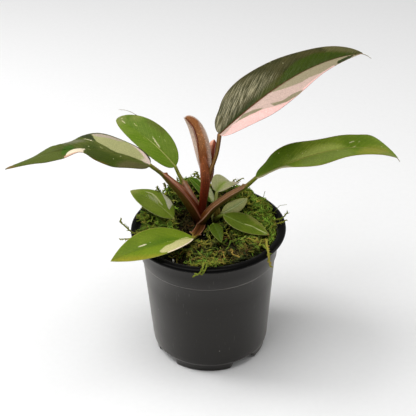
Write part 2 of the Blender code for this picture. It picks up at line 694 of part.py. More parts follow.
def make_moss():
    """A mat in relief with strands fused to it, clear of what stands in it or passes over it."""
    others = [obj for obj in PARTS.objects if obj.name != "soil"]
    obstacles = surfaces_of(others)
    moss = add_object("moss", moss_mat(), PARTS, "moss")
    for name in OVER_MOSS:
        cut(moss, stalk_cutter(name, GAP + 0.2))
    apply_modifiers(moss)
    strands = bpy.data.collections.new("strands")
    bpy.context.scene.collection.children.link(strands)
    for i, route in enumerate(strand_routes(obstacles)):
        add_object(f"strand_{i}", strand_mesh(f"strand_{i}", route, STRAND_RADIUS), strands)
    fuse = moss.modifiers.new("Fuse strands", "BOOLEAN")
    fuse.operation = "UNION"
    fuse.operand_type = "COLLECTION"
    fuse.collection = strands
    fuse.solver = "MANIFOLD"
    apply_modifiers(moss)
    for strand in list(strands.objects):
        bpy.data.objects.remove(strand)
    bpy.data.collections.remove(strands)
    keep_largest(moss)


clear_scene()
PARTS = new_collection("pink_princess_philodendron")
CUTTERS = new_collection("cutters", shown=False)
make_pot()
make_soil()
make_stalks()
make_leaves()
make_moss()
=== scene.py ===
"""Pink princess philodendron in a round black nursery pot with moss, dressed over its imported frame.

Metres, +Z up, in the frame's own place. Sizes in the tables are millimetres and angles degrees, as
in the part's source.
"""
import math
from functools import partial

import bmesh
import bpy
import numpy as np
from mathutils import Matrix, Vector
from mathutils.bvhtree import BVHTree


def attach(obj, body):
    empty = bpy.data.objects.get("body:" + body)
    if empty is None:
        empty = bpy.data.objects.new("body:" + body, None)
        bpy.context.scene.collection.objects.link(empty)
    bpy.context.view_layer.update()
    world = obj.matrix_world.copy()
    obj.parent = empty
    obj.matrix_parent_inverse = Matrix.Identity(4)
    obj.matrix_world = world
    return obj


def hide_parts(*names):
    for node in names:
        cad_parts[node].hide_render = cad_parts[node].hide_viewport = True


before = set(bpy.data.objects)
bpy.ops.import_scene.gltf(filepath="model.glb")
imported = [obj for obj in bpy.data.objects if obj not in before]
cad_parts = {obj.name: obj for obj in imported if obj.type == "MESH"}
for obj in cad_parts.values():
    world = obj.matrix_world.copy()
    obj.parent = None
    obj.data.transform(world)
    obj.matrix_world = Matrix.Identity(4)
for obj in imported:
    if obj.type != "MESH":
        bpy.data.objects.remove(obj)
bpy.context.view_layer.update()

MM = 0.001
TURN = 2 * math.pi
BODY = "root"

# Pot
LIP_RADIUS = 53.0
LIP_HEIGHT = 3.0
POT_HEIGHT = 97.0
UNDER_LIP = POT_HEIGHT - LIP_HEIGHT
COLLAR_RADIUS = 48.4
STEP_HEIGHT = 76.5
STEP_WIDTH = 1.0
BODY_TOP_RADIUS = 45.9
BODY_FOOT_RADIUS = 40.6
FOOT_RADIUS = 38.4
FOOT_HEIGHT = 6.0
FOOT_TURN = -8.5
FEET = 4
NOTCH_TOP = 16.0  # width of the gap between two feet, at its top
NOTCH_FOOT = 21.8  # and at the ground
BEND_HEIGHT = 11.0  # where the wall starts to round into the floor
WALL = 1.0
FLOOR = 1.2
DRAIN_RADIUS = 4.5
DRAIN_OFFSET = 29.0
DRAIN_DEPTH = 8.0  # of what cuts the hole, past both sides of the floor

# Filling
SOIL_TOP = 86.0
CROWN = (-0.5, 9.5)  # middle of the hollow round the stems
CROWN_RADIUS = 12.8
MAT_LEVEL = 94.4
MAT_WAVES = 1.1
MAT_RADIUS = 45.8
BARE_PATCH = (-21.0, -38.0)  # where the peat shows at the front left
BARE_RADIUS = 8.0
STRAND_RADIUS = 46.4  # how far out a strand may start
WALL_REACH = 46.9  # how far out a strand may lie below the lip
LIP_REACH = 48.2  # and above it
CLEARANCE = 0.8  # between a strand and what stands in the moss
SHOOT_THICK = 0.07  # of a moss shoot's length
SPRIGS = 18  # different shoots of each kind
CLUMPS = 150  # groups of strands that share a heading and a tone
TRIES = 8  # places tried for each strand of a layer, on average, before the layer is left
CRUMBS = 260
MOSS_SEED = 7
SOIL_SEED = 3

# Rises and dips of the moss mat, where its strands heap above the solid's surface, where they grow
# green and are brightened with painted light, and where painted shade darkens them: x, y, reach, and
# the rise or the share
TUFTS = ((-27, 29, 13, 7.5), (-10, 37, 12, 8.5), (22, 37, 9, 4))
DIPS = ((6.5, -13, 11, -2.8), (41, -7, 14, -3), (-21, -38, 9, -5))
SWELLS = ((-40, 6, 12, 1.6), (36, 24, 13, 1.6), (43, 4, 12, 1.6), (0, 40, 12, 1), (2, -40, 9, 0.8))
FRESH_AND_LIT = ((-38, 2, 13, 0.6), (37, 5, 20, 0.9), (24, 30, 12, 0.8), (24, -22, 6, 0.35), (2, -40, 5, 0.35),
         (-24, 22, 12, 0.9), (-8, 34, 8, 0.6))
SHADED = ((19, -30, 12, 0.34), (-17, 18, 8, 0.7), (-13, 2, 6, 0.4))

# Strands of the mat from the lowest layer up: how many, their slope in degrees, their painted shade
# at the root and the painted light it gains to the tip, how far they lie above the mat's surface, and
# their length
MOSS_LAYERS = {
    "moss_low": dict(count=900, slope=0, shade=-0.06, gain=0.1, lift=-1.6, length=1.0),
    "moss_mid": dict(count=900, slope=6, shade=0.02, gain=0.28, lift=-0.8, length=1.0),
    "moss_high": dict(count=620, slope=3, shade=0.16, gain=0.45, lift=0.0, length=1.35),
    "moss_rim": dict(count=560, slope=12, shade=0.18, gain=0.4, lift=0.0, length=1.0),
    "moss_crown": dict(count=170, slope=-26, shade=0.04, gain=0.3, lift=0.0, length=1.0),
}

# Cushions of the moss that reach over the lip: the turns they lie between, and how far out
OVER_LIP = ((148, 222, 51.8), (60, 125, 51.8), (0, 60, 49.6), (258, 285, 51.8), (335, 360, 49.0))

# Moss strands that stand up from the mat or hang over the lip: their radius and their places
TRAILS = (
    (0.7, (-38, -8, 92), (-44, -9.5, 98.3), (-50, -11, 99.2), (-56, -11, 105), (-59, -11, 109.2),
     (-57.5, -11, 111)),
    (0.65, (-38, -14, 92), (-43, -15.5, 98.3), (-51, -17, 98.8), (-60, -17.5, 98.8)),
    (0.65, (40, 2, 92), (44.8, 2.5, 98.2), (50.7, 3, 99.8), (54.4, 3, 105)),
    (0.55, (41, -3, 92), (45, -3, 98.4), (50, -3, 100.2), (53.6, -3, 102.4)),
    (0.8, (-3, -41, 92), (-3.6, -46.5, 98.3), (-4.2, -52, 98.6), (-6.5, -54.6, 96.2), (-10.6, -54.4, 94.2)),
    (0.7, (0, -42, 93), (-1, -47, 98.3), (-2.6, -53, 97.9), (-5, -54.7, 94.8)),
    (0.65, (6, -40, 93), (3, -45, 98.6), (0.5, -49.5, 98.6)),
    (1.0, (38, -15, 92), (38.8, -20, 97.2), (38.4, -28, 98.8), (39, -34.6, 99), (39.4, -37.6, 95),
     (40.6, -37.2, 87.2)),
    (0.7, (34, -21, 92), (36, -27, 98.4), (38, -32.6, 99.2), (40.4, -36.4, 97)),
    (0.85, (-4, 38, 98), (-5.4, 42, 108), (-8.1, 42.5, 112.4), (-10.2, 42.5, 112)),
    (0.8, (-5, 38, 99), (-6.5, 42, 109.5), (-7.6, 42.5, 114.2)),
    (0.8, (-19, 34, 98), (-21, 38, 104), (-21, 40, 110.6)),
    (0.85, (-26, 31, 98), (-28.5, 34, 104), (-31, 35, 109.8)),
    (0.85, (-29, 29, 97), (-32.5, 31.5, 103), (-35.6, 32.5, 108.6)),
    (0.8, (-33, 24, 96), (-36, 27, 102), (-37, 27.5, 107), (-34.5, 27.5, 108.5)),
    (0.8, (-23, 30, 98), (-25, 31, 105), (-22, 31, 108.5), (-19, 31, 104.5)),
    (0.65, (16, 38, 95), (18, 41, 101.5), (21.6, 42, 106.2), (25.6, 42, 108.6)),
    (0.6, (14, 38, 95), (16, 42, 102.5), (19.2, 43, 107)),
    (0.25, (37, 22, 94), (38.5, 24.5, 102), (39.8, 25, 108)),
    (0.2, (44, 13.5, 93.5), (46.5, 14, 98.4), (49.6, 14, 102.6), (54.6, 14, 103.4)),
)

# White grains in the peat: their place and size
PERLITE = ((-23.5, -35, 92.6, 1.1), (43.2, -14, 91.5, 1), (8, 16.5, 86.6, 0.9), (-3, 3.5, 86.6, 0.8),
           (-28, -30, 92, 0.7), (-12, -41, 90.4, 0.7))

# Fine threads: the dry ends drawn out past two leaf tips, and an old fibre stuck to a margin. The
# leaf they spring from with the shares along and across it, their radius, and the places they pass
THREADS = {
    "drip_tip_tall_right": ("tall_right", 0.985, 0, 0.3, (105.5, 47.4, 200.6), (108.7, 47.4, 199.1),
                            (111.6, 47.4, 196.9)),
    "drip_tip_right": ("right", 0.985, 0, 0.35, (131, 28.4, 130.2), (132.8, 28.4, 127.3)),
    "stuck_fibre": ("back_left", 0.8, -0.99, 0.2, (-51.5, 47, 160.2), (-55.3, 46.8, 161.9),
                    (-60.3, 46.4, 162.7)),
}

# Camera and room: metres, degrees, and the sensor in millimetres
CAMERA_RISE = 33.0
CAMERA_ROLL = -1.1
CAMERA_DISTANCE = 0.8
AIM_HEIGHT = 0.111
FOCAL_PIXELS = 1183.0  # the lens's focal length, in pixels of the photograph
PHOTO_PIXELS = 416.0
SENSOR = 36.0
FLOOR_REACH = 3.0

# Blades and stalks
BAND = 0.314  # spacing of a wave texture's bands at scale 1
LINE_STEPS = 240  # in which a blade's centre line is followed
ROW_SPACING = 0.8  # between the drawn rows of a blade or a stalk
COLUMN_SPACING = 0.9  # between a blade's columns, about
BLADE_THICK = 0.42
VEIN_SPACING = 4.5
HAIRLINE_SPACING = 1.1
BASE, TIP, RIM = -0.03, 1.03, 1.4  # in a mark's outline, just past the blade's base, tip and margin


def patch(tint, soft, ragged, *outline, strength=1.0, streaked_sheen=False):
    """A coloured area: how soft and how ragged its edge is in millimetres, and its outline in shares."""
    return dict(tint=tint, soft=soft, ragged=ragged, outline=outline, strength=strength, streaked_sheen=streaked_sheen)


def streak(tint, width, *line, soft=0.2):
    """A pale stroke that narrows to its ends."""
    return dict(tint=tint, soft=soft, ragged=0.15, width=width, line=line, strength=1.0, streaked_sheen=False)


def flecks(tint, width, *dots):
    """Round spots."""
    return dict(tint=tint, soft=0.2, ragged=0.15, width=width, dots=dots, strength=1.0, streaked_sheen=False)


# Leaf blades: the same centre lines, widths and slopes as the solids, drawn with many more faces.
# Shares run along the blade (0 base, 1 tip) and across it (-1 right margin, 0 midrib, 1 left margin).
# full is how fast it narrows to its base and to its tip. heading, pitch and roll are polynomials along
# it, left and right the slopes of each half at the rib and at the margin; ripples add to those slopes
# and bulges to the half's width. Marks are laid over the greens in their order. rib, margin and under
# are a tint with its width or its strength, wrinkle is the swelling between the veins, gloss the
# roughness from shiny to dull, and rib_to the share where the rib fades.
USUAL_LEAF = dict(bulges=(), ripples=(), marks=(), wrinkle=0.3, gloss=(0.32, 0.52), pores=0.2, rib_to=1.0)
LEAVES = {
    "tall_right": dict(USUAL_LEAF, start=(8.5, 10, 161.9), length=113.5, width=48.1, full=(0.53, 0.93),
        full_left=(0.43, 0.72), full_right=(0.5, 1.05), heading=(23.8, -5.2), pitch=(35.6, -8.6, -32.2),
        roll=(-11.6, 12.3), left=(29.8, 9.4), right=(11.4, 3.8), bulges=(("left", 0.08, 0.06, -1.6),
        ("left", 0.3, 0.12, 1.4), ("left", 0.68, 0.16, -2.2), ("right", 0.2, 0.13, -2.6),
        ("right", 0.53, 0.12, 3.2)), ripples=(("right", 0.3, 0.2, -11.6, -11.6),
        ("left", 0.15, 0.15, 6.7, 6.7)), greens=("2e3010", "444020"), vein="5c5836", rib=("6e3a22", 0.5),
        margin=("c9a294", 0.1), under=("7d3b33", 0.75), wrinkle=2.2, gloss=(0.24, 0.42), marks=[
        patch("caafa2", 0.25, 0.1, (BASE, 0), (BASE, -RIM), (TIP, -RIM), (TIP, 0)),
        patch("f5c5bd", 0.5, 0.4, (BASE, -0.85), (0.01, -0.8), (0.09, -0.22), (0.2, -0.29), (0.294, -0.59),
              (0.373, -0.86), (0.45, -0.95), (0.574, -0.92), (0.665, -0.95), (0.769, -0.93), (0.8, -RIM),
              (BASE, -RIM)),
        patch("9a8f72", 0.3, 0.5, (0.38, 0), (0.437, -0.26), (0.546, -0.59), (0.601, -0.66), (0.674, -0.88),
              (0.768, -0.9), (0.8, -RIM), (TIP, -RIM), (TIP, 0)),
        patch("8e8568", 0.25, 0.45, (0.112, -0.25), (0.174, -0.07), (0.236, -0.24), (0.29, -0.49),
              (0.24, -0.49), (0.178, -0.34)),
        patch("8e8568", 0.25, 0.3, (0.334, -0.5), (0.399, -0.75), (0.46, -0.8), (0.53, -0.98), (0.485, -1),
              (0.412, -0.93), (0.342, -0.71)),
        patch("2f3a12", 0.25, 0.4, (0.797, -0.9), (0.808, -0.64), (0.866, -0.49), (0.954, -0.1),
              (0.99, -0.2), (0.93, -0.6), (0.87, -RIM), (0.8, -RIM)),
        patch("2f380c", 1.2, 1, (BASE, 0), (0.02, 0.12), (0.1, 0.16), (0.21, 0.14), (0.382, 0.2),
              (0.46, 0)),
        patch("40440c", 1.6, 1.2, (0.25, 0), (0.382, 0.21), (0.503, 0.26), (0.625, 0.47), (0.724, 0.62),
              (0.87, 0.64), (0.95, 0.4), (1, 0.3), (1, 0)),
        patch("364508", 0.9, 1, (0.44, 0.02), (0.529, 0.33), (0.623, 0.53), (0.724, 0.62), (0.831, 0.5),
              (0.919, 0.25), (0.96, 0.02)),
        patch("66623c", 1.5, 1, (0.78, RIM), (0.8, 0.6), (0.9, 0.35), (0.98, 0.1), (TIP, 0.3), (TIP, RIM),
              strength=0.7),
        # Painted sheen: pale streaks that stand in for the glossy highlights on the wrinkles near the base
        patch("b3ab8a", 3, 2, (0, 0.3), (0.05, 0.24), (0.12, 0.26), (0.25, 0.28), (0.33, 0.3), (0.36, 0.5),
              (0.25, 0.75), (0.12, 0.88), (0.03, 0.9), strength=0.75, streaked_sheen=True),
        patch("a59e7c", 3, 2, (0.3, 0.2), (0.42, 0.22), (0.47, 0.4), (0.4, 0.7), (0.25, 0.9), (0.1, 0.95),
              (0.3, 0.6), strength=0.5, streaked_sheen=True),
        flecks("b5b58c", 0.35, (0.44, 0.42), (0.46, 0.55), (0.38, 0.62), (0.5, 0.72), (0.55, 0.68),
               (0.49, 0.36)),
    ]),
    "right": dict(USUAL_LEAF, start=(32.6, 6, 130.5), length=108, width=30.6, full=(0.42, 0.63),
        heading=(4, 17.9), pitch=(25.9, -18.2, -51.1), roll=(-10.4, 19.7), left=(18.8, 4.9),
        right=(16, 3.9), bulges=(("left", 0.07, 0.05, -1.5), ("left", 0.48, 0.14, -2.2),
        ("left", 0.82, 0.08, 3.4)), ripples=(("right", 0.15, 0.1, 12, 12),
        ("right", 0.4, 0.12, -10.2, -10.2), ("left", 0.2, 0.15, 22.4, 22.4)), greens=("5c7812", "72881e"),
        vein="8c9a38", rib=("8f9040", 0.6), margin=("86702a", 0.4), under=("a3ab86", 0.75), wrinkle=0.5,
        pores=0.35, marks=[
        patch("57760c", 2.5, 1, (BASE, 0.05), (0.1, 0.14), (0.168, 0.24), (0.246, 0.5), (0.32, 0.8),
              (0.36, RIM), (BASE, RIM)),
        patch("9eac4e", 2.2, 1.4, (0.2, -0.15), (0.21, 0), (0.333, 0.28), (0.431, 0.5), (0.52, 0.45),
              (0.6, 0.12), (0.541, -0.03), (0.411, -0.1), (0.285, -0.12), strength=0.95),
        patch("7e8e40", 2.5, 1, (0.28, -0.95), (0.3, -0.2), (0.45, -0.12), (0.6, -0.2), (0.6, -0.95),
              strength=0.7),
        patch("56700f", 2.5, 1, (0.6, 0.2), (0.7, 0.15), (0.85, 0.4), (0.8, 0.9), (0.6, 0.9), strength=0.6),
        patch("979636", 2.5, 1.4, (0.637, -0.85), (0.7, -0.2), (0.773, 0.07), (0.896, 0.3), (0.94, -0.3),
              (0.8, -0.97), strength=0.8),
        patch("aca880", 0.7, 0.3, (BASE, -0.5), (0.1, -0.72), (0.2, -0.6), (0.27, -RIM), (BASE, -RIM)),
        streak("ded8a8", 0.3, (0.629, 0.31), (0.672, 0.46)),
        streak("ccc88e", 0.25, (0.62, -0.07), (0.668, 0.1)),
        streak("ccc88e", 0.22, (0.692, 0.35), (0.712, 0.48)),
        streak("b9b87a", 0.28, (0.222, 0.01), (0.288, -0.3)),
        flecks("d6d49a", 0.42, (0.323, 0.25), (0.239, 0.41), (0.188, 0.75), (0.468, 0.25), (0.29, 0.3),
               (0.35, 0.3), (0.572, 0.66), (0.792, -0.67), (0.86, 0.3)),
    ]),
    "left": dict(USUAL_LEAF, start=(-38, 4, 143.3), length=100, width=32.7, full=(0.41, 0.81),
        heading=(168.9, 47.9, 1), pitch=(26.8, -35.4, -35.3, 38.9), roll=(3.7, 5.3), left=(11.6, -13.3),
        right=(12.5, 3.7), bulges=(("right", 0.66, 0.05, 1.5), ("right", 0.48, 0.04, 0.8),
        ("right", 0.92, 0.06, -1), ("left", 0.44, 0.07, 1.4), ("left", 0.57, 0.05, -1),
        ("left", 0.75, 0.06, 1.2)), ripples=(("left", 0.5, 0.08, 16.6, 15.9), ("right", 0.36, 0.12, 12, 10),
        ("right", 0.6, 0.12, 36.9, -79.8), ("left", 0.75, 0.15, -2.9, -3.1),
        ("left", 0.25, 0.12, -11.6, -12), ("right", 0.85, 0.15, -30.9, -53.8)), greens=("434f14", "545c20"),
        vein="6e7038", rib=("5c5e24", 0.3), margin=("5a5426", 0.22), under=("6a5a44", 0.7), wrinkle=0.9,
        gloss=(0.3, 0.46), marks=[
        patch("3c4a0e", 2, 1, (0.16, 0.45), (0.253, 0.3), (0.33, 0.1), (0.4, -0.35), (0.46, -0.2),
              (0.46, 0.3), (0.46, RIM), (0.2, RIM)),
        patch("56532e", 2, 1, (BASE, 0.35), (0.075, 0.42), (0.16, 0.5), (0.22, 0.8), (0.2, RIM),
              (BASE, RIM)),
        patch("75611e", 0.5, 0.4, (0.328, 0.9), (0.284, 0.93), (0.434, 0.96), (0.44, RIM), (0.27, RIM)),
        patch("525d22", 3, 1, (0.62, -RIM), (0.62, RIM), (TIP, RIM), (TIP, -RIM)),
        patch("86663c", 3, 0.5, (0.95, -RIM), (0.95, RIM), (TIP, RIM), (TIP, -RIM)),
        # Painted sheen: a grey reflection along the ridge
        patch("83806c", 1.6, 1, (0.59, -0.6), (0.536, -0.66), (0.475, -0.6), (0.447, -0.45), (0.504, -0.35),
              (0.57, -0.36), strength=0.6),
        patch("a5a570", 0.2, 0.4, (BASE, 0), (0.222, 0.02), (0.277, -0.09), (0.324, -0.25), (0.365, -0.4),
              (0.385, -0.62), (0.395, -0.9), (0.3, -0.94), (0.246, -0.9), (0.172, -0.95), (0.12, -0.98),
              (0.067, -0.96), (BASE, -0.9)),
        patch("b3a392", 0.6, 0.4, (0.4, -0.93), (0.385, -0.8), (0.355, -0.72), (0.295, -0.76),
              (0.232, -0.8), (0.2, -0.92), (0.246, -0.94), (0.3, -0.94), strength=0.9),
        patch("d6c0b6", 0.6, 0.3, (0.16, -0.93), (0.12, -0.8), (0.08, -0.62), (0.04, -0.3), (0, 0),
              (BASE, 0), (BASE, -0.6), (0.067, -0.86), (0.12, -0.93)),
        patch("d8c2b8", 0.8, 0.3, (-0.01, -0.3), (-0.01, 0.1), (0.04, 0.12), (0.07, -0.1), (0.045, -0.4),
              strength=0.8),
        streak("c3cc86", 0.2, (0.03, -0.22), (0.07, -0.12)),
        streak("c3cc86", 0.2, (0.055, -0.36), (0.095, -0.2)),
        patch("34381c", 0.3, 0.2, (0.02, -0.66), (0.067, -0.87), (0.12, -0.93), (0.17, -0.95), (0.18, -RIM),
              (BASE, -RIM), (BASE, -0.5)),
        patch("3a4018", 0.25, 0.1, (0.24, -0.955), (0.35, -0.95), (0.47, -0.93), (0.47, -RIM),
              (0.22, -RIM)),
        patch("343c1c", 0.35, 0.3, (0.385, -0.6), (0.405, -0.95), (0.47, -0.95), (0.453, -0.75),
              (0.416, -0.62), (0.4, -0.52), (0.375, -0.45)),
        flecks("c6cc62", 0.5, (0.409, -0.9)),
        streak("e2d8b4", 0.4, (0.457, -0.63), (0.433, -0.58), (0.404, -0.5), (0.39, -0.42)),
        streak("a3a668", 0.3, (0.356, -0.18), (0.33, -0.07)),
        flecks("b5b48a", 0.5, (0.207, 0.25)),
        # Painted shade: the dark hollow where the near half curls up into a cup
        patch("3c5c10", 0.6, 0.3, (0.61, 0.3), (0.59, -0.1), (0.567, -0.18), (0.53, -0.22), (0.515, 0),
              (0.533, 0.12), (0.565, 0.5), (0.6, 0.75), (0.62, 0.6)),
        patch("e6d8bc", 0.25, 0.2, (0.6, 0.85), (0.58, 0.62), (0.564, 0.5), (0.532, 0.3), (0.505, 0.14),
              (0.485, 0.05), (0.46, 0.1), (0.45, 0.3), (0.462, 0.5), (0.475, 0.72), (0.485, RIM),
              (0.61, RIM)),
        streak("c9c27c", 0.35, (0.48, 0.06), (0.44, 0.12), (0.4, 0.2)),
        patch("c9a088", 0.4, 0.2, (0.61, 0.84), (0.575, 0.86), (0.547, 0.86), (0.515, 0.92), (0.487, 0.95),
              (0.48, RIM), (0.62, RIM)),
    ]),
    "back_left": dict(USUAL_LEAF, start=(-21.8, 24, 129.9), length=53.1, width=25.6, full=(0.44, 0.64),
        full_right=(0.56, 0.64), heading=(148.8, 3.9), pitch=(43.9, -28.9, -1.5), roll=(-11, -7.5),
        left=(12, 18.9), right=(17, 26.7), greens=("5d7918", "6b812b"), vein="7a9030", rib=("a3a55c", 0.5),
        margin=("7c7c34", 0.22), under=("9aa873", 0.7), wrinkle=0.4, rib_to=0.35, marks=[
        patch("5c6622", 1.6, 1, (0.7, -RIM), (0.656, -0.8), (0.57, -0.7), (0.403, -0.72), (0.36, -RIM),
              strength=0.8),
        patch("8a9046", 2, 1, (0.72, -RIM), (0.75, -0.6), (0.84, -0.5), (0.85, -RIM), strength=0.7),
        patch("8c8f52", 2.2, 1, (0.93, -RIM), (0.9, 0), (0.92, RIM), (TIP, RIM), (TIP, -RIM), strength=0.7),
        streak("ddd6a6", 0.42, (0.492, -0.27), (0.386, -0.15), (0.305, -0.07)),
        streak("c4bf7c", 0.32, (0.79, -0.37), (0.705, -0.24)),
        streak("cfc89a", 0.35, (0.925, -0.15), (0.865, -0.02)),
        flecks("d5d3a0", 0.4, (0.413, -0.5), (0.94, -0.44)),
        flecks("a9ad5e", 0.35, (0.671, 0.56), (0.62, 0.5), (0.55, 0.16), (0.58, -0.02)),
        streak("a4ad62", 0.25, (0.358, -0.61), (0.307, -0.56)),
    ]),
    "mid_left": dict(USUAL_LEAF, start=(-23.9, 8, 98), length=38.6, width=23, full=(0.71, 0.95),
        heading=(147.3, -1.9), pitch=(35.4, -32, -10.3), roll=(1.9, -1.8), left=(12.7, -4.7),
        right=(12.2, -6.4), greens=("6d8420", "7d902e"), vein="8a9638", rib=("93a04c", 0.45),
        margin=("b4b874", 0.28), under=("a3ad80", 0.7), wrinkle=0.4, rib_to=0.5, marks=[
        patch("93964a", 2.2, 0.8, (0.88, -RIM), (0.85, 0), (0.88, RIM), (TIP, RIM), (TIP, -RIM),
              strength=0.8),
        patch("a5ab7e", 0.8, 1.6, (0.69, -0.32), (0.647, -0.12), (0.518, -0.03), (0.388, -0.05),
              (0.429, -0.2), (0.578, -0.3), strength=0.75),
        streak("c2c48c", 0.55, (0.74, -0.47), (0.609, -0.49), (0.507, -0.39), (0.406, -0.25), (0.3, -0.15)),
        patch("c2c1a4", 0.3, 0.6, (0.52, -0.97), (0.43, -RIM), (0.23, -RIM), (0.183, -0.66), (0.171, -0.36),
              (0.217, -0.33), (0.291, -0.5), (0.409, -0.75)),
    ]),
    "front_left": dict(USUAL_LEAF, start=(-10.2, -17, 98.5), length=60.3, width=27.4, full=(0.7, 0.99),
        heading=(205.2, 0.9), pitch=(11.7, -27.3, 6.9), roll=(2.5, -25.5), left=(7, 19.3),
        right=(6.5, 17.4), greens=("627a12", "6e841a"), vein="808f26", rib=("889a34", 0.4),
        margin=("a3a04a", 0.25), under=("a0ad74", 0.7), wrinkle=0.4, rib_to=0.15, marks=[
        patch("53700c", 2, 1, (0.08, -0.05), (0.3, -0.35), (0.55, -0.3), (0.7, -0.1), (0.4, 0.1)),
        patch("8c8824", 2.2, 1.2, (0.43, RIM), (0.46, 0.9), (0.626, 0.68), (0.794, 0.35), (0.93, -0.1),
              (TIP, -0.3), (TIP, RIM), strength=0.9),
        patch("c0bb80", 0.25, 0.6, (0.479, 0.6), (0.373, 0.33), (0.28, 0.22), (0.187, 0.02), (0.125, -0.12),
              (0.062, -0.15), (0.03, 0.15), (0.02, RIM), (0.42, RIM), (0.4, 0.9), (0.446, 0.84),
              (0.472, 0.74)),
        patch("efd9cc", 0.35, 0.3, (0.02, 0.8), (0.2, 0.88), (0.41, 0.92), (0.47, RIM), (0, RIM)),
        streak("e0d9b2", 0.42, (0.655, -0.22), (0.548, -0.2)),
        flecks("b5b86c", 0.4, (0.308, -0.03), (0.72, 0.3), (0.62, 0.42)),
    ]),
    "front_right": dict(USUAL_LEAF, start=(10.6, 5, 101.9), length=35.2, width=18.4, full=(0.65, 0.95),
        heading=(-28, -1.6), pitch=(-12.2, -4.9, 14.9), roll=(-0.7, 6.4), left=(10, 8.5), right=(10, 9.1),
        greens=("4b5d0b", "596b0e"), vein="606e20", rib=("74863a", 0.4), margin=("8e8c4c", 0.28),
        under=("98a878", 0.7), rib_to=0.4, marks=[
        patch("787a38", 1.2, 0.6, (0.3, RIM), (0.436, 0.8), (0.62, 0.62), (0.812, 0.7), (1, 0.7),
              (TIP, RIM), strength=0.8),
        patch("b04a38", 0.6, 0.2, (0.975, -RIM), (0.975, RIM), (TIP, RIM), (TIP, -RIM)),
        streak("a9ad72", 0.32, (0.44, 0.06), (0.622, 0.2), (0.78, 0.15), (0.94, 0.25)),
    ]),
    "mid_right": dict(USUAL_LEAF, start=(9.9, 14, 97.3), length=20.8, width=12.8, full=(0.63, 0.8),
        heading=(27.6, -1.6), pitch=(8.8, 13.7, 5), roll=(1.9, 4.3), left=(12.3, -7.1), right=(11.3, -7.6),
        greens=("7c8248", "8c8f58"), vein="9c9e6c", rib=("a5a878", 0.4), margin=("a8a454", 0.28),
        under=("a5ad88", 0.6), marks=[
        patch("6f8450", 0.6, 1.2, (0.1, 0.1), (0.5, 0.3), (0.8, 0.2), (0.9, 0), (0.5, -0.3), (0.2, -0.2),
              strength=0.6),
    ]),
    "back_right": dict(USUAL_LEAF, start=(6.3, 26, 107.2), length=21, width=19.5, full=(0.58, 0.45),
        heading=(56.6, 0.3), pitch=(25.1, -47.7, -29.1), roll=(-0.3, 6.1), left=(19.5, 10.8),
        right=(19.8, 10.5), greens=("959866", "a5a678"), vein="b2b287", rib=("8ea04c", 0.55),
        margin=("cdb8a0", 0.3), under=("a9ae8c", 0.6), marks=[
        patch("879a40", 1.6, 1, (BASE, -0.5), (BASE, 0.5), (0.3, 0.3), (0.6, 0.1), (0.6, -0.05),
              (0.3, -0.2), strength=0.85),
        patch("b9a596", 1.2, 1.2, (0.45, -RIM), (0.5, -0.7), (0.75, -0.45), (1, -0.3), (TIP, -RIM),
              strength=0.6),
    ]),
    "back": dict(USUAL_LEAF, start=(3.6, 26, 99), length=24.5, width=13.8, full=(0.58, 0.82),
        heading=(151.4, 5.2), pitch=(46.5, -5.4, -12), roll=(2.8, -0.1), left=(16.5, 3.2),
        right=(15.5, 1.1), greens=("406002", "4c6e02"), vein="5e7614", rib=("9aa24c", 0.4),
        margin=("8f9a44", 0.25), under=("8fa465", 0.6), marks=[
        patch("c9cf9c", 0.3, 0.7, (BASE, -RIM), (0.85, -RIM), (0.74, -0.75), (0.6, -0.6), (0.4, -0.4),
              (0.2, -0.05), (0.05, 0.45), (BASE, 0.7)),
    ]),
    "front": dict(USUAL_LEAF, start=(3.5, 0, 98.1), length=20, width=8.8, full=(0.51, 0.93),
        heading=(-76.5, 3.1), pitch=(0.4, -18.7, 3.5), roll=(0.5, 1.9), left=(15.9, 1.2), right=(15.5, 1.4),
        greens=("384a06", "42540a"), vein="526412", rib=("4c6214", 0.35), margin=("7c8430", 0.2),
        under=("88a060", 0.6)),
    "unfurling": dict(USUAL_LEAF, start=(-2.4, 12.5, 127.1), length=49.4, width=18.4, full=(0.43, 0.47),
        heading=(179.8, 5), pitch=(79, 15.4, 3.6, -47.7), roll=(75.1, 13.8), left=(20.8, 54.3),
        right=(44.2, 76.9), greens=("a86c3e", "b67c4e"), vein="925a30", rib=("a4683c", 0.3),
        margin=("dcc8b8", 0.8), under=("8c5138", 0), wrinkle=0.4, pores=0.8, marks=[
        patch("8a4820", 6, 1, (BASE, -RIM), (BASE, RIM), (0.4, RIM), (0.4, -RIM)),
        patch("ceb2a2", 0.4, 0.6, (0.05, -0.3), (0.3, -0.1), (0.6, 0.07), (0.8, 0.12), (TIP, 0),
              (TIP, -RIM), (0.05, -RIM)),
        patch("cdae9a", 0.8, 0.8, (0.1, 0.68), (0.5, 0.64), (0.8, 0.72), (0.9, RIM), (0, RIM),
              strength=0.85),
        # Painted shade: a dark line in the crease along the rolled leaf's fold
        streak("641f0a", 0.5, (1, 0.02), (0.8, 0.13), (0.6, 0.08), (0.3, -0.09), (0.05, -0.29), soft=0.35),
    ]),
}

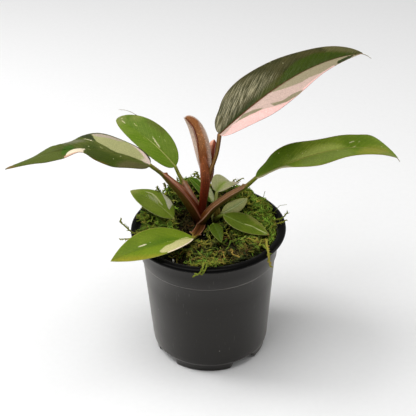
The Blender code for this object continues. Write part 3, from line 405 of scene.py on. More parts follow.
# Stalks: the solids' centre lines and radii, the way the channel faces and its depth, the height of
# the sheath's free edges, their turn from the channel and the share where they end in a point, and
# the skin's colours from base to tip on the channel's side and, from the turn back_from, on the round
# side. groove tints the channel from the share groove_from on, and rim the free edges.
USUAL_STALK = dict(channel=0, wing=0, wing_turn=0.85, sheath=0, pores=0.2, back_from=1.2, groove="", rim="")
STALKS = {
    "stem": dict(USUAL_STALK, places=((-5.5, 12.5, 56, 3.4), (-5.9, 12.2, 75, 4), (-5.9, 12, 89, 4.3),
        (-5.5, 12, 96.5, 3.9)), facing=(0, -1, 0), upper=((0, "2a140a"), (1, "3a1a0e")),
        lower=((0, "2a140a"), (1, "341608"))),
    "side_stem": dict(USUAL_STALK, places=((6.2, 13.6, 70, 2.2), (5.8, 13.2, 85, 2.6),
        (5.4, 12.6, 95.4, 2.4)), facing=(0, -1, 0), upper=((0, "2a1a0a"), (1, "4c441a")),
        lower=((0, "2a1a0a"), (1, "3c3a14"))),
    "sheath_tall": dict(USUAL_STALK, places=((-5.5, 12, 95, 3.5), (-3.5, 12, 107, 2.7),
        (-2.3, 12, 116, 3.1), (-1.4, 12, 124.6, 3.3), (-1.5, 12.1, 130.5, 3.4), (-2.1, 12.9, 137, 2.9),
        (-2.9, 13.9, 142.5, 1.9), (-3.5, 14.6, 147, 0.6)), facing=(-0.15, -1, 0), upper=((0, "3a0e02"),
        (0.25, "541806"), (0.5, "642208"), (0.6, "6e2c0e"), (0.72, "844420"), (1, "9a5a30")),
        lower=((0, "2e0a02"), (0.25, "471005"), (0.62, "521606"), (0.78, "74340f"), (1, "8a4c24")),
        pores=1),
    "stalk_tall_right": dict(USUAL_STALK, places=((0.4, 12, 125, 1.9), (1.6, 12, 131, 1.7),
        (3.7, 11.8, 137.5, 1.4), (6.3, 11, 146.1, 1.3), (8.6, 10, 162.2, 1.5)), facing=(-0.3, -0.9, 0.3),
        channel=0.3, groove="a07a48", groove_from=0.05, upper=((0, "561e08"), (0.3, "6a4412"),
        (0.7, "66500f"), (1, "784a28")), lower=((0, "4a1806"), (0.3, "46380a"), (0.7, "4a4210"),
        (1, "42280c"))),
    # stalk_left: its pale groove tint is partly the channel's own pale skin and partly a painted highlight
    # along the sheath's top
    "stalk_left": dict(USUAL_STALK, places=((-5.9, 11.5, 94, 4.2), (-11.4, 10.2, 107, 4),
        (-17.5, 9, 117.7, 3.4), (-25.2, 7, 128.3, 2.4), (-30.3, 5.5, 135.2, 1.5), (-38.2, 4, 143.4, 1.4)),
        facing=(0.5, -0.2, 0.85), channel=0.34, wing=1, sheath=0.8, groove="cfa184", groove_from=0.42,
        rim="96604a", back_from=0.7, upper=((0, "341003"), (0.2, "5c2408"), (0.45, "80401a"),
        (0.78, "8a4420"), (0.84, "5e5a12"), (1, "6a6e18")), lower=((0, "2c0e02"), (0.1, "3c1e06"),
        (0.26, "4c340a"), (0.78, "5a4a10"), (0.84, "565410"), (1, "5c6212"))),
    "stalk_right": dict(USUAL_STALK, places=((-5.3, 10.5, 91.5, 3.4), (-3.2, 8.3, 96.6, 3.2),
        (2.7, 8.6, 104.6, 2.8), (9.7, 8.8, 110.8, 2.5), (17.2, 8.3, 116.6, 2.2), (25.3, 7.3, 122.6, 1.6),
        (32.8, 6, 130.7, 1.3)), facing=(-0.35, -0.25, 0.85), channel=0.22, wing=0.8, sheath=0.83,
        groove="96704c", groove_from=0.2, rim="b0886c", back_from=0.8, upper=((0, "441a06"),
        (0.2, "60340f"), (0.5, "785028"), (0.8, "85603a"), (0.87, "70721c"), (1, "788020")),
        lower=((0, "381804"), (0.06, "4a2a0a"), (0.2, "42380a"), (0.6, "54481a"), (0.87, "606818"),
        (1, "6a7418"))),
    "stalk_back_left": dict(USUAL_STALK, places=((-5.8, 13, 94, 2.8), (-7.8, 16.8, 100.8, 2.7),
        (-12.2, 18.8, 109.8, 2.4), (-16.9, 22, 118.4, 1.8), (-19.4, 23.1, 123.5, 1.3),
        (-22, 24.1, 130.1, 1.2)), facing=(0.5, -0.6, 0.6), channel=0.3, wing=0.8, sheath=0.7,
        groove="b08c78", groove_from=0.2, rim="8a5a48", upper=((0, "5a2a10"), (0.4, "865230"),
        (0.66, "96643e"), (0.76, "747a22"), (1, "7e8a26")), lower=((0, "4a220a"), (0.4, "624018"),
        (0.66, "60501c"), (0.76, "666e1a"), (1, "748020"))),
    # stalk_front_left: its dark groove tint is partly the sheath's own dark inner skin and partly painted
    # shade inside the boat-shaped sheath
    "stalk_front_left": dict(USUAL_STALK, places=((-5, 9.5, 91, 2.6), (-5.8, 1, 93.4, 2.7),
        (-8, -8, 95.6, 2.1), (-10.4, -17.3, 98.6, 1.3)), facing=(0.1, -0.1, 1), channel=0.55, wing=2,
        wing_turn=1.1, sheath=0.86, groove="40200a", groove_from=0, rim="a87258", upper=((0, "301a06"),
        (0.5, "4c2a0c"), (0.85, "64421a"), (1, "887e2c")), lower=((0, "302006"), (0.6, "5e4418"),
        (0.9, "807238"), (1, "888630"))),
    "stalk_mid_left": dict(USUAL_STALK, places=((-20.5, 7, 80, 1.3), (-22.3, 7.4, 90, 1.3),
        (-24.1, 8, 98.2, 1.1)), facing=(0, -0.3, 1), channel=0.2, groove="9a9a4c", groove_from=0.3,
        upper=((0, "6a6a28"), (1, "8c8c40")), lower=((0, "6a6a28"), (1, "868840"))),
    "stalk_front": dict(USUAL_STALK, places=((1.8, 8, 80, 1.2), (2.6, 4, 92, 1.2), (3.4, -0.2, 98.2, 0.9)),
        facing=(0, -0.3, 1), channel=0.2, groove="6a7a2c", groove_from=0.3, upper=((0, "3a4a14"),
        (1, "5a6a1e")), lower=((0, "3a4a14"), (1, "56661c"))),
    "stalk_front_right": dict(USUAL_STALK, places=((5, 11.5, 93.5, 1.7), (7.6, 7.4, 99.2, 1.4),
        (10.9, 4.9, 101.9, 1.1)), facing=(0, -0.2, 1), channel=0.25, wing=0.4, sheath=0.5, groove="8a9048",
        groove_from=0.3, upper=((0, "4a4a18"), (1, "6a7a2c")), lower=((0, "4a4a18"), (1, "6a7428"))),
    "stalk_mid_right": dict(USUAL_STALK, places=((5.4, 12.8, 92.5, 1.4), (9.95, 14.05, 97.4, 1)),
        facing=(0, -0.2, 1), channel=0.2, groove="8a9450", groove_from=0.3, upper=((0, "4a4a18"),
        (1, "7a8448")), lower=((0, "4a4a18"), (1, "788244"))),
    "stalk_back_right": dict(USUAL_STALK, places=((5.4, 13.5, 92, 1.5), (5, 20, 99.4, 1.4),
        (6.4, 26.1, 107.4, 1.1)), facing=(0, -0.8, 0.6), channel=0.25, groove="a0a85c", groove_from=0.3,
        upper=((0, "5a521c"), (1, "949c4c")), lower=((0, "5a521c"), (1, "8a9044"))),
    "stalk_back": dict(USUAL_STALK, places=((4.4, 13.5, 89, 1.3), (2.6, 20, 93.5, 1.2), (3.6, 26, 99, 1)),
        facing=(0, -0.8, 0.6), channel=0.2, groove="a0a85c", groove_from=0.3, upper=((0, "5a5a20"),
        (1, "8a983c")), lower=((0, "5a5a20"), (1, "86923c"))),
    "bract_low": dict(USUAL_STALK, places=((5.6, 12.2, 96.2, 1.9), (6.7, 12.2, 100, 1.9),
        (7.4, 12.2, 104, 0.4)), facing=(-0.3, -0.9, 0.2), channel=0.15, wing=0.2, sheath=0.8,
        groove="9a8434", groove_from=0, rim="6a3a1c", upper=((0, "5a4a1c"), (0.4, "8a7a30"), (1, "9a8438")),
        lower=((0, "4a3416"), (0.5, "6a3c1c"), (1, "7a6030"))),
    "bract_tall": dict(USUAL_STALK, places=((0.4, 12.4, 121, 0.9), (1.8, 13.1, 124.6, 1),
        (3, 14.4, 128, 1.1), (3.5, 17, 133, 1.5), (3.5, 19.4, 139.2, 2.2), (4, 19.9, 145.6, 2.8),
        (4.6, 19.8, 150.8, 2), (4.9, 19.7, 152.6, 0.5)), facing=(0.9, -0.4, 0), channel=0.35, wing=0.3,
        sheath=0.92, groove="4c160a", groove_from=0, rim="8a3c1e", upper=((0, "4c160a"), (0.7, "6e2a14"),
        (1, "8a3c20")), lower=((0, "4a1408"), (0.22, "5c1c0e"), (0.5, "9c4c2c"), (0.75, "d48e6c"),
        (1, "dca48a"))),
}


# Shared tools

def linear(code):
    """An sRGB colour in hex, turned linear, with its alpha."""
    channels = [int(code[i : i + 2], 16) / 255 for i in (0, 2, 4)]
    return [c / 12.92 if c <= 0.04045 else ((c + 0.055) / 1.055) ** 2.4 for c in channels] + [1.0]


def fill(tree, node, inputs):
    """Sets a node's inputs, by name or number or as a list in their order. Each is a value, a colour
    in hex, or the socket that feeds it."""
    for key, value in inputs.items() if isinstance(inputs, dict) else enumerate(inputs):
        if isinstance(value, bpy.types.NodeSocket):
            tree.links.new(value, node.inputs[key])
        else:
            node.inputs[key].default_value = linear(value) if isinstance(value, str) else value


def add_node(tree, kind, inputs=(), out=0, **settings):
    """Adds a shader node with its settings and links, and returns one of its outputs."""
    added = tree.nodes.new("ShaderNode" + kind)
    for key, value in settings.items():
        setattr(added, key, value)
    fill(tree, added, inputs)
    return added.outputs[out]


def new_material(name):
    """What adds a node to a new material, and what sets its surface and returns it."""
    made = bpy.data.materials.new(name)
    made.use_nodes = True

    def surface(inputs):
        fill(made.node_tree, made.node_tree.nodes["Principled BSDF"], inputs)
        return made

    return partial(add_node, made.node_tree), surface


def layered(node, colour, layers):
    """A colour with others laid over it in their order, each with the share that it covers."""
    for cover, tint in layers:
        colour = node("Mix", {0: cover, 6: colour, 7: tint}, 2, data_type="RGBA")
    return colour


def colour_ramp(node, share, stops):
    """The colours of the stops, the first at 0 and the last at 1, blended by a share."""
    ramp = node("ValToRGB", [share])
    elements = ramp.node.color_ramp.elements
    for position, code in stops[1:-1]:
        elements.new(position).color = linear(code)
    elements[0].color = linear(stops[0][1])
    elements[len(elements) - 1].color = linear(stops[-1][1])
    return ramp


def placed(name, data):
    """An object in the scene for a mesh, a lamp or a camera."""
    made = bpy.data.objects.new(name, data)
    bpy.context.scene.collection.objects.link(made)
    return made


def make_object(name, points, faces, finish, slot, replaces=(), attributes=None):
    """A piece from points in millimetres and faces, with its named float attributes."""
    mesh = bpy.data.meshes.new(name)
    mesh.from_pydata((np.asarray(points) * MM).tolist(), [], faces)
    for key, values in (attributes or {}).items():
        values = np.asarray(values, np.float32)
        kind, field = ("FLOAT_VECTOR", "vector") if values.ndim == 2 else ("FLOAT", "value")
        mesh.attributes.new(key, kind, "POINT").data.foreach_set(field, values.ravel())
    mesh.polygons.foreach_set("use_smooth", [True] * len(mesh.polygons))
    mesh.materials.append(finish)
    piece = placed(name, mesh)
    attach(piece, BODY)
    if replaces:
        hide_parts(*replaces)
    return piece


def grid_faces(rows, columns, first=0, flip=False, wrap=False):
    """Quads over a grid of points stored row by row; wrap joins the last column to the first."""
    faces = []
    for i in range(rows - 1):
        near, far = first + i * columns, first + (i + 1) * columns
        for j in range(columns if wrap else columns - 1):
            k = (j + 1) % columns
            quad = (near + j, far + j, far + k, near + k)
            faces.append(quad[::-1] if flip else quad)
    return faces


def end_fans(rows, columns, flip=False):
    """Triangles that close the first and the last row onto the two points stored after them."""
    count = rows * columns
    faces = []
    for j in range(columns):
        k = (j + 1) % columns
        a, b = (k, j) if flip else (j, k)
        faces += [(count, a, b), (count + 1, count - columns + b, count - columns + a)]
    return faces


def joined(parts):
    """Several parts as one: their points, faces and shares."""
    faces = []
    start = 0
    for points, part_faces, _ in parts:
        faces += [tuple(start + i for i in face) for face in part_faces]
        start += len(points)
    return np.vstack([part[0] for part in parts]), faces, np.concatenate([part[2] for part in parts])


def unit(vectors):
    return vectors / np.linalg.norm(vectors, axis=-1, keepdims=True)


def bell(x, middle, reach):
    return np.exp(-(((x - middle) / reach) ** 2))


def ring(radius, turn, height):
    """Points at these turns round the pot's axis."""
    return np.column_stack([radius * np.cos(turn), radius * np.sin(turn), height + 0 * turn])


# Leaf blades

def bend(terms, s):
    return np.radians(sum(term * s**power for power, term in enumerate(terms)))


def blade_axes(leaf, s):
    """Unit vectors along the blade, to its left and out of its upper face."""
    pitch, heading, roll = (bend(leaf[key], s)[:, None] for key in ("pitch", "heading", "roll"))
    along = np.hstack([np.cos(pitch) * np.cos(heading), np.cos(pitch) * np.sin(heading), np.sin(pitch)])
    level = np.hstack([-np.sin(heading), np.cos(heading), 0 * heading])
    rising = np.cross(along, level)
    return along, level * np.cos(roll) + rising * np.sin(roll), rising * np.cos(roll) - level * np.sin(roll)


def half_width(leaf, side, s):
    base, tip = leaf.get("full_" + side, leaf["full"])
    widest = base / (base + tip)
    half = leaf["width"] / 2 * (s / widest) ** base * ((1 - s) / (1 - widest)) ** tip
    for bulge_side, where, reach, size in leaf["bulges"]:
        if bulge_side == side:
            half = half + size * bell(s, where, reach) * np.clip(s * (1 - s) * 12, 0, 1)
    return half


def blade_surface(leaf, s, v):
    """The blade's middle surface at shares s along and v across."""
    fine = np.linspace(0, 1, LINE_STEPS + 1)
    along = blade_axes(leaf, fine)[0]
    steps = (along[1:] + along[:-1]) / 2 * leaf["length"] / LINE_STEPS
    line = np.vstack([np.zeros(3), np.cumsum(steps, 0)]) + leaf["start"]
    centre = np.stack([np.interp(s, fine, line[:, axis]) for axis in range(3)], 1)
    _, left, up = blade_axes(leaf, s)
    surface = np.zeros((len(s), len(v), 3))
    for side, turn, columns in (("right", -1, v <= 0), ("left", 1, v > 0)):
        inner, outer = (np.full(len(s), float(value)) for value in leaf[side])
        for ripple_side, where, reach, at_rib, at_edge in leaf["ripples"]:
            if ripple_side == side:
                inner = inner + at_rib * bell(s, where, reach)
                outer = outer + at_edge * bell(s, where, reach)
        inner, outer = np.radians(inner)[:, None], np.radians(outer)[:, None]
        opening = np.where(np.abs(outer - inner) < 1e-6, 1e-6, outer - inner)
        share = np.abs(v[columns])[None, :]
        radius = half_width(leaf, side, s)[:, None] / opening
        across = radius * (np.sin(inner + opening * share) - np.sin(inner)) * turn
        lift = radius * (np.cos(inner) - np.cos(inner + opening * share))
        surface[:, columns] = (centre[:, None] + left[:, None] * across[..., None]
                               + up[:, None] * lift[..., None])
    return surface


def nearest_on(plan, start, run):
    """How far along a straight run the nearest place to each point is, and its distance."""
    share = np.clip(((plan - start) @ run) / max(run @ run, 1e-9), 0, 1)
    return share, np.linalg.norm(plan - start - share[:, None] * run, axis=1)


def outline_distance(plan, outline):
    """Signed distance to a closed outline, above zero inside it."""
    nearest = np.full(len(plan), 1e9)
    inside = np.zeros(len(plan), bool)
    for a, b in zip(outline, np.roll(outline, -1, 0)):
        run = b - a
        nearest = np.minimum(nearest, nearest_on(plan, a, run)[1])
        crosses = (a[1] > plan[:, 1]) != (b[1] > plan[:, 1])
        inside ^= crosses & (plan[:, 0] < a[0] + (plan[:, 1] - a[1]) / (run[1] or 1e-9) * run[0])
    return np.where(inside, nearest, -nearest)


def streak_distance(plan, line, width):
    """Signed distance to a streak that narrows to its ends."""
    best = np.full(len(plan), -1e9)
    count = len(line) - 1
    for i in range(count):
        share, away = nearest_on(plan, line[i], line[i + 1] - line[i])
        wide = width * np.sqrt(np.clip(1 - (2 * (i + share) / count - 1) ** 4, 0.05, 1))
        best = np.maximum(best, wide - away)
    return best


def mark_distance(leaf, mark, plan):
    def on_plan(places):
        places = np.array(places, float)
        inner = np.clip(places[:, 0], 0.002, 0.998)
        half = np.where(places[:, 1] > 0, half_width(leaf, "left", inner), half_width(leaf, "right", inner))
        return np.stack([places[:, 0] * leaf["length"], places[:, 1] * half], 1)

    if "outline" in mark:
        corners = np.array(mark["outline"], float)
        shares = np.linspace(0, 1, 12, endpoint=False)[:, None]
        runs = [a + (b - a) * shares for a, b in zip(corners, np.roll(corners, -1, 0))]
        return outline_distance(plan, on_plan(np.vstack(runs)))
    if "line" in mark:
        return streak_distance(plan, on_plan(mark["line"]), mark["width"])
    dots = on_plan(mark["dots"])
    return mark["width"] - np.min([np.linalg.norm(plan - dot, axis=1) for dot in dots], axis=0)


def living_leaf(name, leaf):
    """Living philodendron leaf: a waxy cuticle grown smooth over green cells, so it shines softly and
    lets the lateral veins show as shallow bright lines; cells without green make the pale sectors.
    A few marks are painted sheen, broken into streaks along the veins."""
    node, surface = new_material(name)
    place = node("TexCoord", out="Object")
    grain = node("Attribute", out="Vector", attribute_name="grain")
    rib, edge, under = (node("Attribute", out="Fac", attribute_name=key) for key in ("rib", "edge", "under"))
    streaked = node("Mapping", {"Vector": grain, "Scale": (1 / 0.9, 1 / 6, 1)})
    streaks = node("TexNoise", {"Vector": streaked, "Scale": 1, "Detail": 4})
    broad = node("TexNoise", {"Vector": place, "Scale": 1 / 0.014, "Detail": 3})
    fine = node("TexNoise", {"Vector": place, "Scale": 1 / 0.0007, "Detail": 2})
    pores = node("TexVoronoi", {"Vector": place, "Scale": 1 / 0.0013})
    strewn = node("TexVoronoi", {"Vector": place, "Scale": 1 / 0.0055})

    # Main lateral veins, and the finer ones between them
    veins = node("TexWave", {"Vector": grain, "Scale": BAND / VEIN_SPACING, "Distortion": 0.6, "Detail": 1,
                             "Detail Scale": 0.3}, 1)
    hairlines = node("TexWave", {"Vector": grain, "Scale": BAND / HAIRLINE_SPACING, "Distortion": 1.5,
                                 "Detail": 2}, 1)
    dark, light = leaf["greens"]
    layers = [(node("MapRange", [broad, 0.38, 0.62]), light),
              (node("MapRange", [veins, 0.86, 1, 0, 0.35]), leaf["vein"]),
              (node("MapRange", [streaks, 0.52, 0.72, 0, 0.3]), leaf["vein"])]
    for i, mark in enumerate(leaf["marks"]):
        inside = node("Attribute", out="Fac", attribute_name=f"mark_{i}")
        patchy = node("MapRange", [streaks, 0.3, 0.7, -mark["ragged"], mark["ragged"]])
        border = node("Math", [inside, patchy], operation="ADD")
        cover = node("MapRange", [border, -mark["soft"], mark["soft"], 0, mark["strength"]])
        # Painted sheen, broken up into streaks along the lateral veins
        if mark["streaked_sheen"]:
            drawn = node("MapRange", [streaks, 0.46, 0.58, 0.05, 1])
            cover = node("Math", [cover, drawn], operation="MULTIPLY")
        layers.append((cover, mark["tint"]))

    # Pale specks, then the midrib, the margin and the underside
    chosen = node("MapRange", [node("SeparateColor", [strewn.node.outputs["Color"]]), 0.6, 0.9])
    specks = node("Math", [node("MapRange", [strewn, 0.05, 0.1, 0.75, 0]), chosen], operation="MULTIPLY")
    rib_tint, margin, beneath = leaf["rib"][0], leaf["margin"], leaf["under"]
    layers += [(specks, "cfcf9a"),
               (node("MapRange", [rib, 0.7, 1.3, 0.9, 0]), rib_tint),
               (node("MapRange", [edge, margin[1] * 0.6, margin[1] * 1.6, 0.85, 0]), margin[0]),
               (node("Math", [under, beneath[1]], operation="MULTIPLY"), beneath[0])]
    freckle = node("MapRange", [pores, 0.15, 0.35, leaf["pores"], 0])
    value = node("Math", [node("MapRange", [fine, 0.3, 0.7, 0.86, 1.14]), freckle], operation="ADD")
    colour = node("HueSaturation", {"Color": layered(node, dark, layers), "Value": value})
    height = fine
    for texture, depth in ((veins, 0.5), (hairlines, 0.5), (streaks, 1.5)):
        height = node("Math", [texture, depth * leaf["wrinkle"], height], operation="MULTIPLY_ADD")
    bump = node("Bump", {"Height": height, "Strength": 0.7, "Distance": 0.0002})
    rough = node("MapRange", [streaks, 0, 1, *leaf["gloss"]])
    return surface({"Base Color": colour, "Roughness": rough, "Normal": bump, "IOR": 1.45,
                    "Specular IOR Level": 0.15})


def make_leaf(name, leaf):
    """A closed blade: a grooved midrib above, a raised rib below, shallow swelling between veins."""
    rows = round(leaf["length"] / ROW_SPACING)
    columns = round(leaf["width"] / 2 / COLUMN_SPACING) + 3
    s = (1 - np.cos(np.pi * np.linspace(0.03, 0.985, rows))) / 2
    u = np.linspace(-1, 1, 2 * columns + 1)
    v = np.sign(u) * np.abs(u) ** 1.25
    middle = blade_surface(leaf, s, v)
    half = np.where(v > 0, half_width(leaf, "left", s)[:, None], half_width(leaf, "right", s)[:, None])
    normal = unit(np.cross(np.gradient(middle, axis=0), np.gradient(middle, axis=1)))
    out = np.abs(v)[None, :] * half
    along = np.repeat(s[:, None] * leaf["length"], len(v), 1)
    phase = along - 1.25 * out - 0.012 * out**2
    rib_width = leaf["rib"][1] * (1 - 0.75 * s[:, None])
    thick = BLADE_THICK * (1 - 0.6 * np.abs(v)[None, :] ** 6)
    swell = (0.1 * leaf["wrinkle"] * np.cos(2 * np.pi * phase / VEIN_SPACING) * np.clip(out / 2, 0, 1)
             * (1 - np.abs(v) ** 4))
    groove = 0.35 * bell(out, 0, rib_width + 0.2) * (1 - 0.7 * s[:, None])
    ridge = 0.9 * bell(out, 0, rib_width + 0.1) * (1 - s[:, None]) ** 0.6
    top = middle + normal * (thick / 2 + swell - groove)[..., None]
    low = middle - normal * (thick / 2 - swell + ridge)[..., None]
    count, width = rows * len(v), len(v)
    faces = grid_faces(rows, width) + grid_faces(rows, width, first=count, flip=True)
    for i in range(rows - 1):
        a, b = i * width, (i + 1) * width
        faces.append((a, a + count, b + count, b))
        a, b = a + width - 1, b + width - 1
        faces.append((a, b, b + count, a + count))
    for j in range(width - 1):
        faces.append((j, j + 1, j + 1 + count, j + count))
        last = count - width + j
        faces.append((last, last + count, last + 1 + count, last + 1))
    attributes = {
        "grain": np.stack([phase, out, np.sign(v)[None, :] * np.ones_like(out) * 7], -1).reshape(-1, 3),
        "rib": (out / rib_width + 4 * np.clip(s[:, None] - leaf["rib_to"], 0, 1)).ravel(),
        "edge": np.minimum(half * (1 - np.abs(v)), along.max() - along + 0.3).ravel(),
    }
    plan = np.stack([along, v * half], -1).reshape(-1, 2)
    for i, mark in enumerate(leaf["marks"]):
        attributes[f"mark_{i}"] = mark_distance(leaf, mark, plan)
    attributes = {key: np.concatenate([values, values]) for key, values in attributes.items()}
    attributes["under"] = np.repeat([0, 1], count)
    points = np.concatenate([top.reshape(-1, 3), low.reshape(-1, 3)])
    slot = {"tall_right": "leaf_pink", "left": "leaf_pink", "unfurling": "leaf_new"}.get(name, "leaf_green")
    finish = living_leaf(f"living_leaf_{name}", leaf)
    return make_object(f"blade_{name}", points, faces, finish, slot, (f"leaf_{name}",), attributes)


# Stalks and sheaths

def smooth_path(places, count):
    """Points, with their radius where the places have one, on a smooth curve through the places."""
    places = np.array(places, float)
    gaps = np.linalg.norm(np.diff(places[:, :3], axis=0), axis=1)
    knots = np.concatenate([[0], np.cumsum(gaps)])
    slopes = np.gradient(places, knots, axis=0) if len(places) > 2 else np.repeat(
        (places[1:] - places[:1]) / knots[-1], 2, 0)
    t = np.linspace(0, knots[-1], count)
    i = np.clip(np.searchsorted(knots, t, side="right") - 1, 0, len(knots) - 2)
    h = (knots[i + 1] - knots[i])[:, None]
    x = (t[:, None] - knots[i][:, None]) / h
    return ((2 * x**3 - 3 * x**2 + 1) * places[i] + (x**3 - 2 * x**2 + x) * h * slopes[i]
            + (3 * x**2 - 2 * x**3) * places[i + 1] + (x**3 - x**2) * h * slopes[i + 1])


def living_stalk(name, stalk):
    """Living petiole: smooth skin drawn out lengthwise, red where light reaches it, green beneath,
    freckled with pale pores; the free edges of its sheath dry out paler."""
    node, surface = new_material(name)
    place = node("TexCoord", out="Object")
    grain = node("Attribute", out="Vector", attribute_name="grain")
    turn, along = (node("Attribute", out="Fac", attribute_name=key) for key in ("turn", "along"))
    drawn = node("Mapping", {"Vector": grain, "Scale": (1 / 0.5, 1 / 5, 1)})
    fibres = node("TexNoise", {"Vector": drawn, "Scale": 1, "Detail": 3})
    pores = node("TexVoronoi", {"Vector": place, "Scale": 1 / 0.0016})
    patchy = node("MapRange", [fibres, 0.3, 0.7, -0.04, 0.04])

    # The sheath's colours reach further along its free edges than round its back
    share = node("Math", [turn, 0.025, along], operation="MULTIPLY_ADD")
    share = node("Math", [share, patchy], operation="ADD")
    edge = node("Math", [patchy, 3, turn], operation="MULTIPLY_ADD")
    begins = stalk["back_from"]
    layers = [(node("MapRange", [edge, begins, begins + 0.6]), colour_ramp(node, share, stalk["lower"]))]
    if stalk["groove"]:
        in_groove = node("MapRange", [edge, 0.3, 0.65, 0.8, 0])
        reached = node("MapRange", [share, stalk["groove_from"], stalk["groove_from"] + 0.25])
        cover = node("Math", [in_groove, reached], operation="MULTIPLY")
        if stalk["sheath"]:
            ended = node("MapRange", [along, stalk["sheath"], stalk["sheath"] + 0.03, 1, 0.25])
            cover = node("Math", [cover, ended], operation="MULTIPLY")
        layers.append((cover, stalk["groove"]))
    if stalk["rim"]:
        rim = node("Attribute", out="Fac", attribute_name="rim")
        layers.append((node("MapRange", [rim, 0.45, 0.8, 0, 0.85]), stalk["rim"]))
    colour = layered(node, colour_ramp(node, share, stalk["upper"]), layers)
    freckle = node("MapRange", [pores, 0.14, 0.28, 1.3 + stalk["pores"], 1])
    shade = node("MapRange", [fibres, 0.3, 0.7, 0.8, 1.2])
    value = node("Math", [freckle, shade], operation="MULTIPLY")
    colour = node("HueSaturation", {"Color": colour, "Value": value})
    bump = node("Bump", {"Height": fibres, "Strength": 0.5, "Distance": 0.0002})
    rough = node("MapRange", [fibres, 0, 1, 0.35, 0.55])
    return surface({"Base Color": colour, "Roughness": rough, "Normal": bump, "IOR": 1.45,
                    "Specular IOR Level": 0.25})


def make_stalk(name, stalk):
    """A round stalk with a channel along one side, and beside it the free edges of its sheath, which
    rise towards their pointed ends."""
    length = np.linalg.norm(np.diff(np.array(stalk["places"])[:, :3], axis=0), axis=1).sum()
    rings = max(16, round(length / ROW_SPACING))
    sides = 48
    path = smooth_path(stalk["places"], rings)
    centre, radius = path[:, :3], np.maximum(path[:, 3:], 0.15)
    ahead = unit(np.gradient(centre, axis=0))
    facing = np.array(stalk["facing"], float)
    front = unit(facing - (ahead @ facing)[:, None] * ahead)
    side = np.cross(ahead, front)
    angle = np.linspace(-np.pi, np.pi, sides, endpoint=False)[None, :]
    s = np.linspace(0, 1, rings)[:, None]
    ends = stalk["sheath"]
    point = 1 + bell(s, ends - 0.03, 0.02)
    sheath = np.clip((ends - s) / 0.035, 0, 1) * (0.35 + 0.65 * (s / max(ends, 0.01)) ** 2) * point
    edges = sum(bell(angle, turn, 0.17) for turn in (-stalk["wing_turn"], stalk["wing_turn"]))
    reach = radius * (1 - stalk["channel"] * bell(angle, 0, 0.5)) + stalk["wing"] * sheath * edges
    points = (centre[:, None] + reach[..., None]
              * (front[:, None] * np.cos(angle)[..., None] + side[:, None] * np.sin(angle)[..., None]))
    tips = np.array([centre[0] - ahead[0] * 0.2, centre[-1] + ahead[-1] * 0.2])
    faces = grid_faces(rings, sides, flip=True, wrap=True) + end_fans(rings, sides, flip=True)
    turn = np.abs(angle) * np.ones_like(s)
    grain = np.stack([angle * radius, s * length * np.ones_like(angle), turn * 0], -1)
    attributes = {
        "turn": np.append(turn, [0, 0]),
        "along": np.append(s * np.ones_like(angle), [0, 1]),
        "rim": np.append(edges * np.clip((ends - s) / 0.03, 0, 1), [0, 0]),
        "grain": np.vstack([grain.reshape(-1, 3), [[0, 0, 0], [0, length, 0]]]),
    }
    slot = "bract" if name.startswith("bract") else "stem" if name in ("stem", "side_stem") else "stalk"
    points = np.vstack([points.reshape(-1, 3), tips])
    finish = living_stalk(f"living_{name}", stalk)
    return make_object(f"{name}_drawn", points, faces, finish, slot, (name,), attributes)


# Pot

def body_radius(height):
    share = (height - FOOT_HEIGHT) / (STEP_HEIGHT - FOOT_HEIGHT)
    return BODY_FOOT_RADIUS + (BODY_TOP_RADIUS - BODY_FOOT_RADIUS) * share


def collar_radius(height):
    step_radius = BODY_TOP_RADIUS + STEP_WIDTH
    share = (height - STEP_HEIGHT) / (UNDER_LIP - STEP_HEIGHT)
    return step_radius + (COLLAR_RADIUS - step_radius) * share


def moulded_polypropylene():
    """Black polypropylene, injection moulded: a satin skin with a faint orange peel, fine scuffs,
    a polished lip, and a patchy pale line along the step."""
    node, surface = new_material("moulded_polypropylene")
    place = node("TexCoord", out="Object")
    height = node("SeparateXYZ", [place], "Z")
    peel = node("TexNoise", {"Vector": place, "Scale": 1 / 0.0011, "Detail": 2})
    cloud = node("TexNoise", {"Vector": place, "Scale": 1 / 0.03, "Detail": 3})
    slant = node("Mapping", {"Vector": place, "Rotation": (0.5, 0.3, 0.4),
                             "Scale": (1 / 0.0008, 1 / 0.0008, 1 / 0.011)})
    scratch = node("TexNoise", {"Vector": slant, "Scale": 1, "Detail": 1})
    speck = node("TexVoronoi", {"Vector": place, "Scale": 1 / 0.012})
    # A patchy pale line along the step's edge
    off_step = node("Math", [height, STEP_HEIGHT * MM], operation="SUBTRACT")
    off_step = node("Math", [off_step], operation="ABSOLUTE")
    at_step = node("MapRange", [off_step, 0.0003, 0.0007, 1, 0])
    patchy = node("Math", [at_step, node("MapRange", [cloud, 0.42, 0.55, 0.25, 1])], operation="MULTIPLY")
    lip = node("MapRange", [height, (UNDER_LIP - 1) * MM, UNDER_LIP * MM])
    colour = layered(node, "0b0a0a", [
        (node("MapRange", [cloud, 0.35, 0.65]), "131211"),
        (node("MapRange", [scratch, 0.7, 0.82, 0, 0.3]), "6c6a67"),
        (patchy, "857f78"),
        (node("MapRange", [speck, 0.02, 0.045, 0.4, 0]), "b9b5ad"),
        (lip, "050505"),
    ])
    satin = node("MapRange", [cloud, 0.3, 0.7, 0.34, 0.46])
    return surface({
        "Base Color": colour, "IOR": 1.49, "Specular Tint": "fffaf3", "Sheen Tint": "fffaf3",
        "Sheen Roughness": 0.4, "Sheen Weight": node("MapRange", [lip, 0, 1, 0.32, 0.12]),
        "Specular IOR Level": node("MapRange", [lip, 0, 1, 0.29, 0.05]),
        "Roughness": node("Math", [lip, -0.16, satin], operation="MULTIPLY_ADD"),
        "Normal": node("Bump", {"Height": peel, "Strength": 0.25, "Distance": 0.0001}),
    })


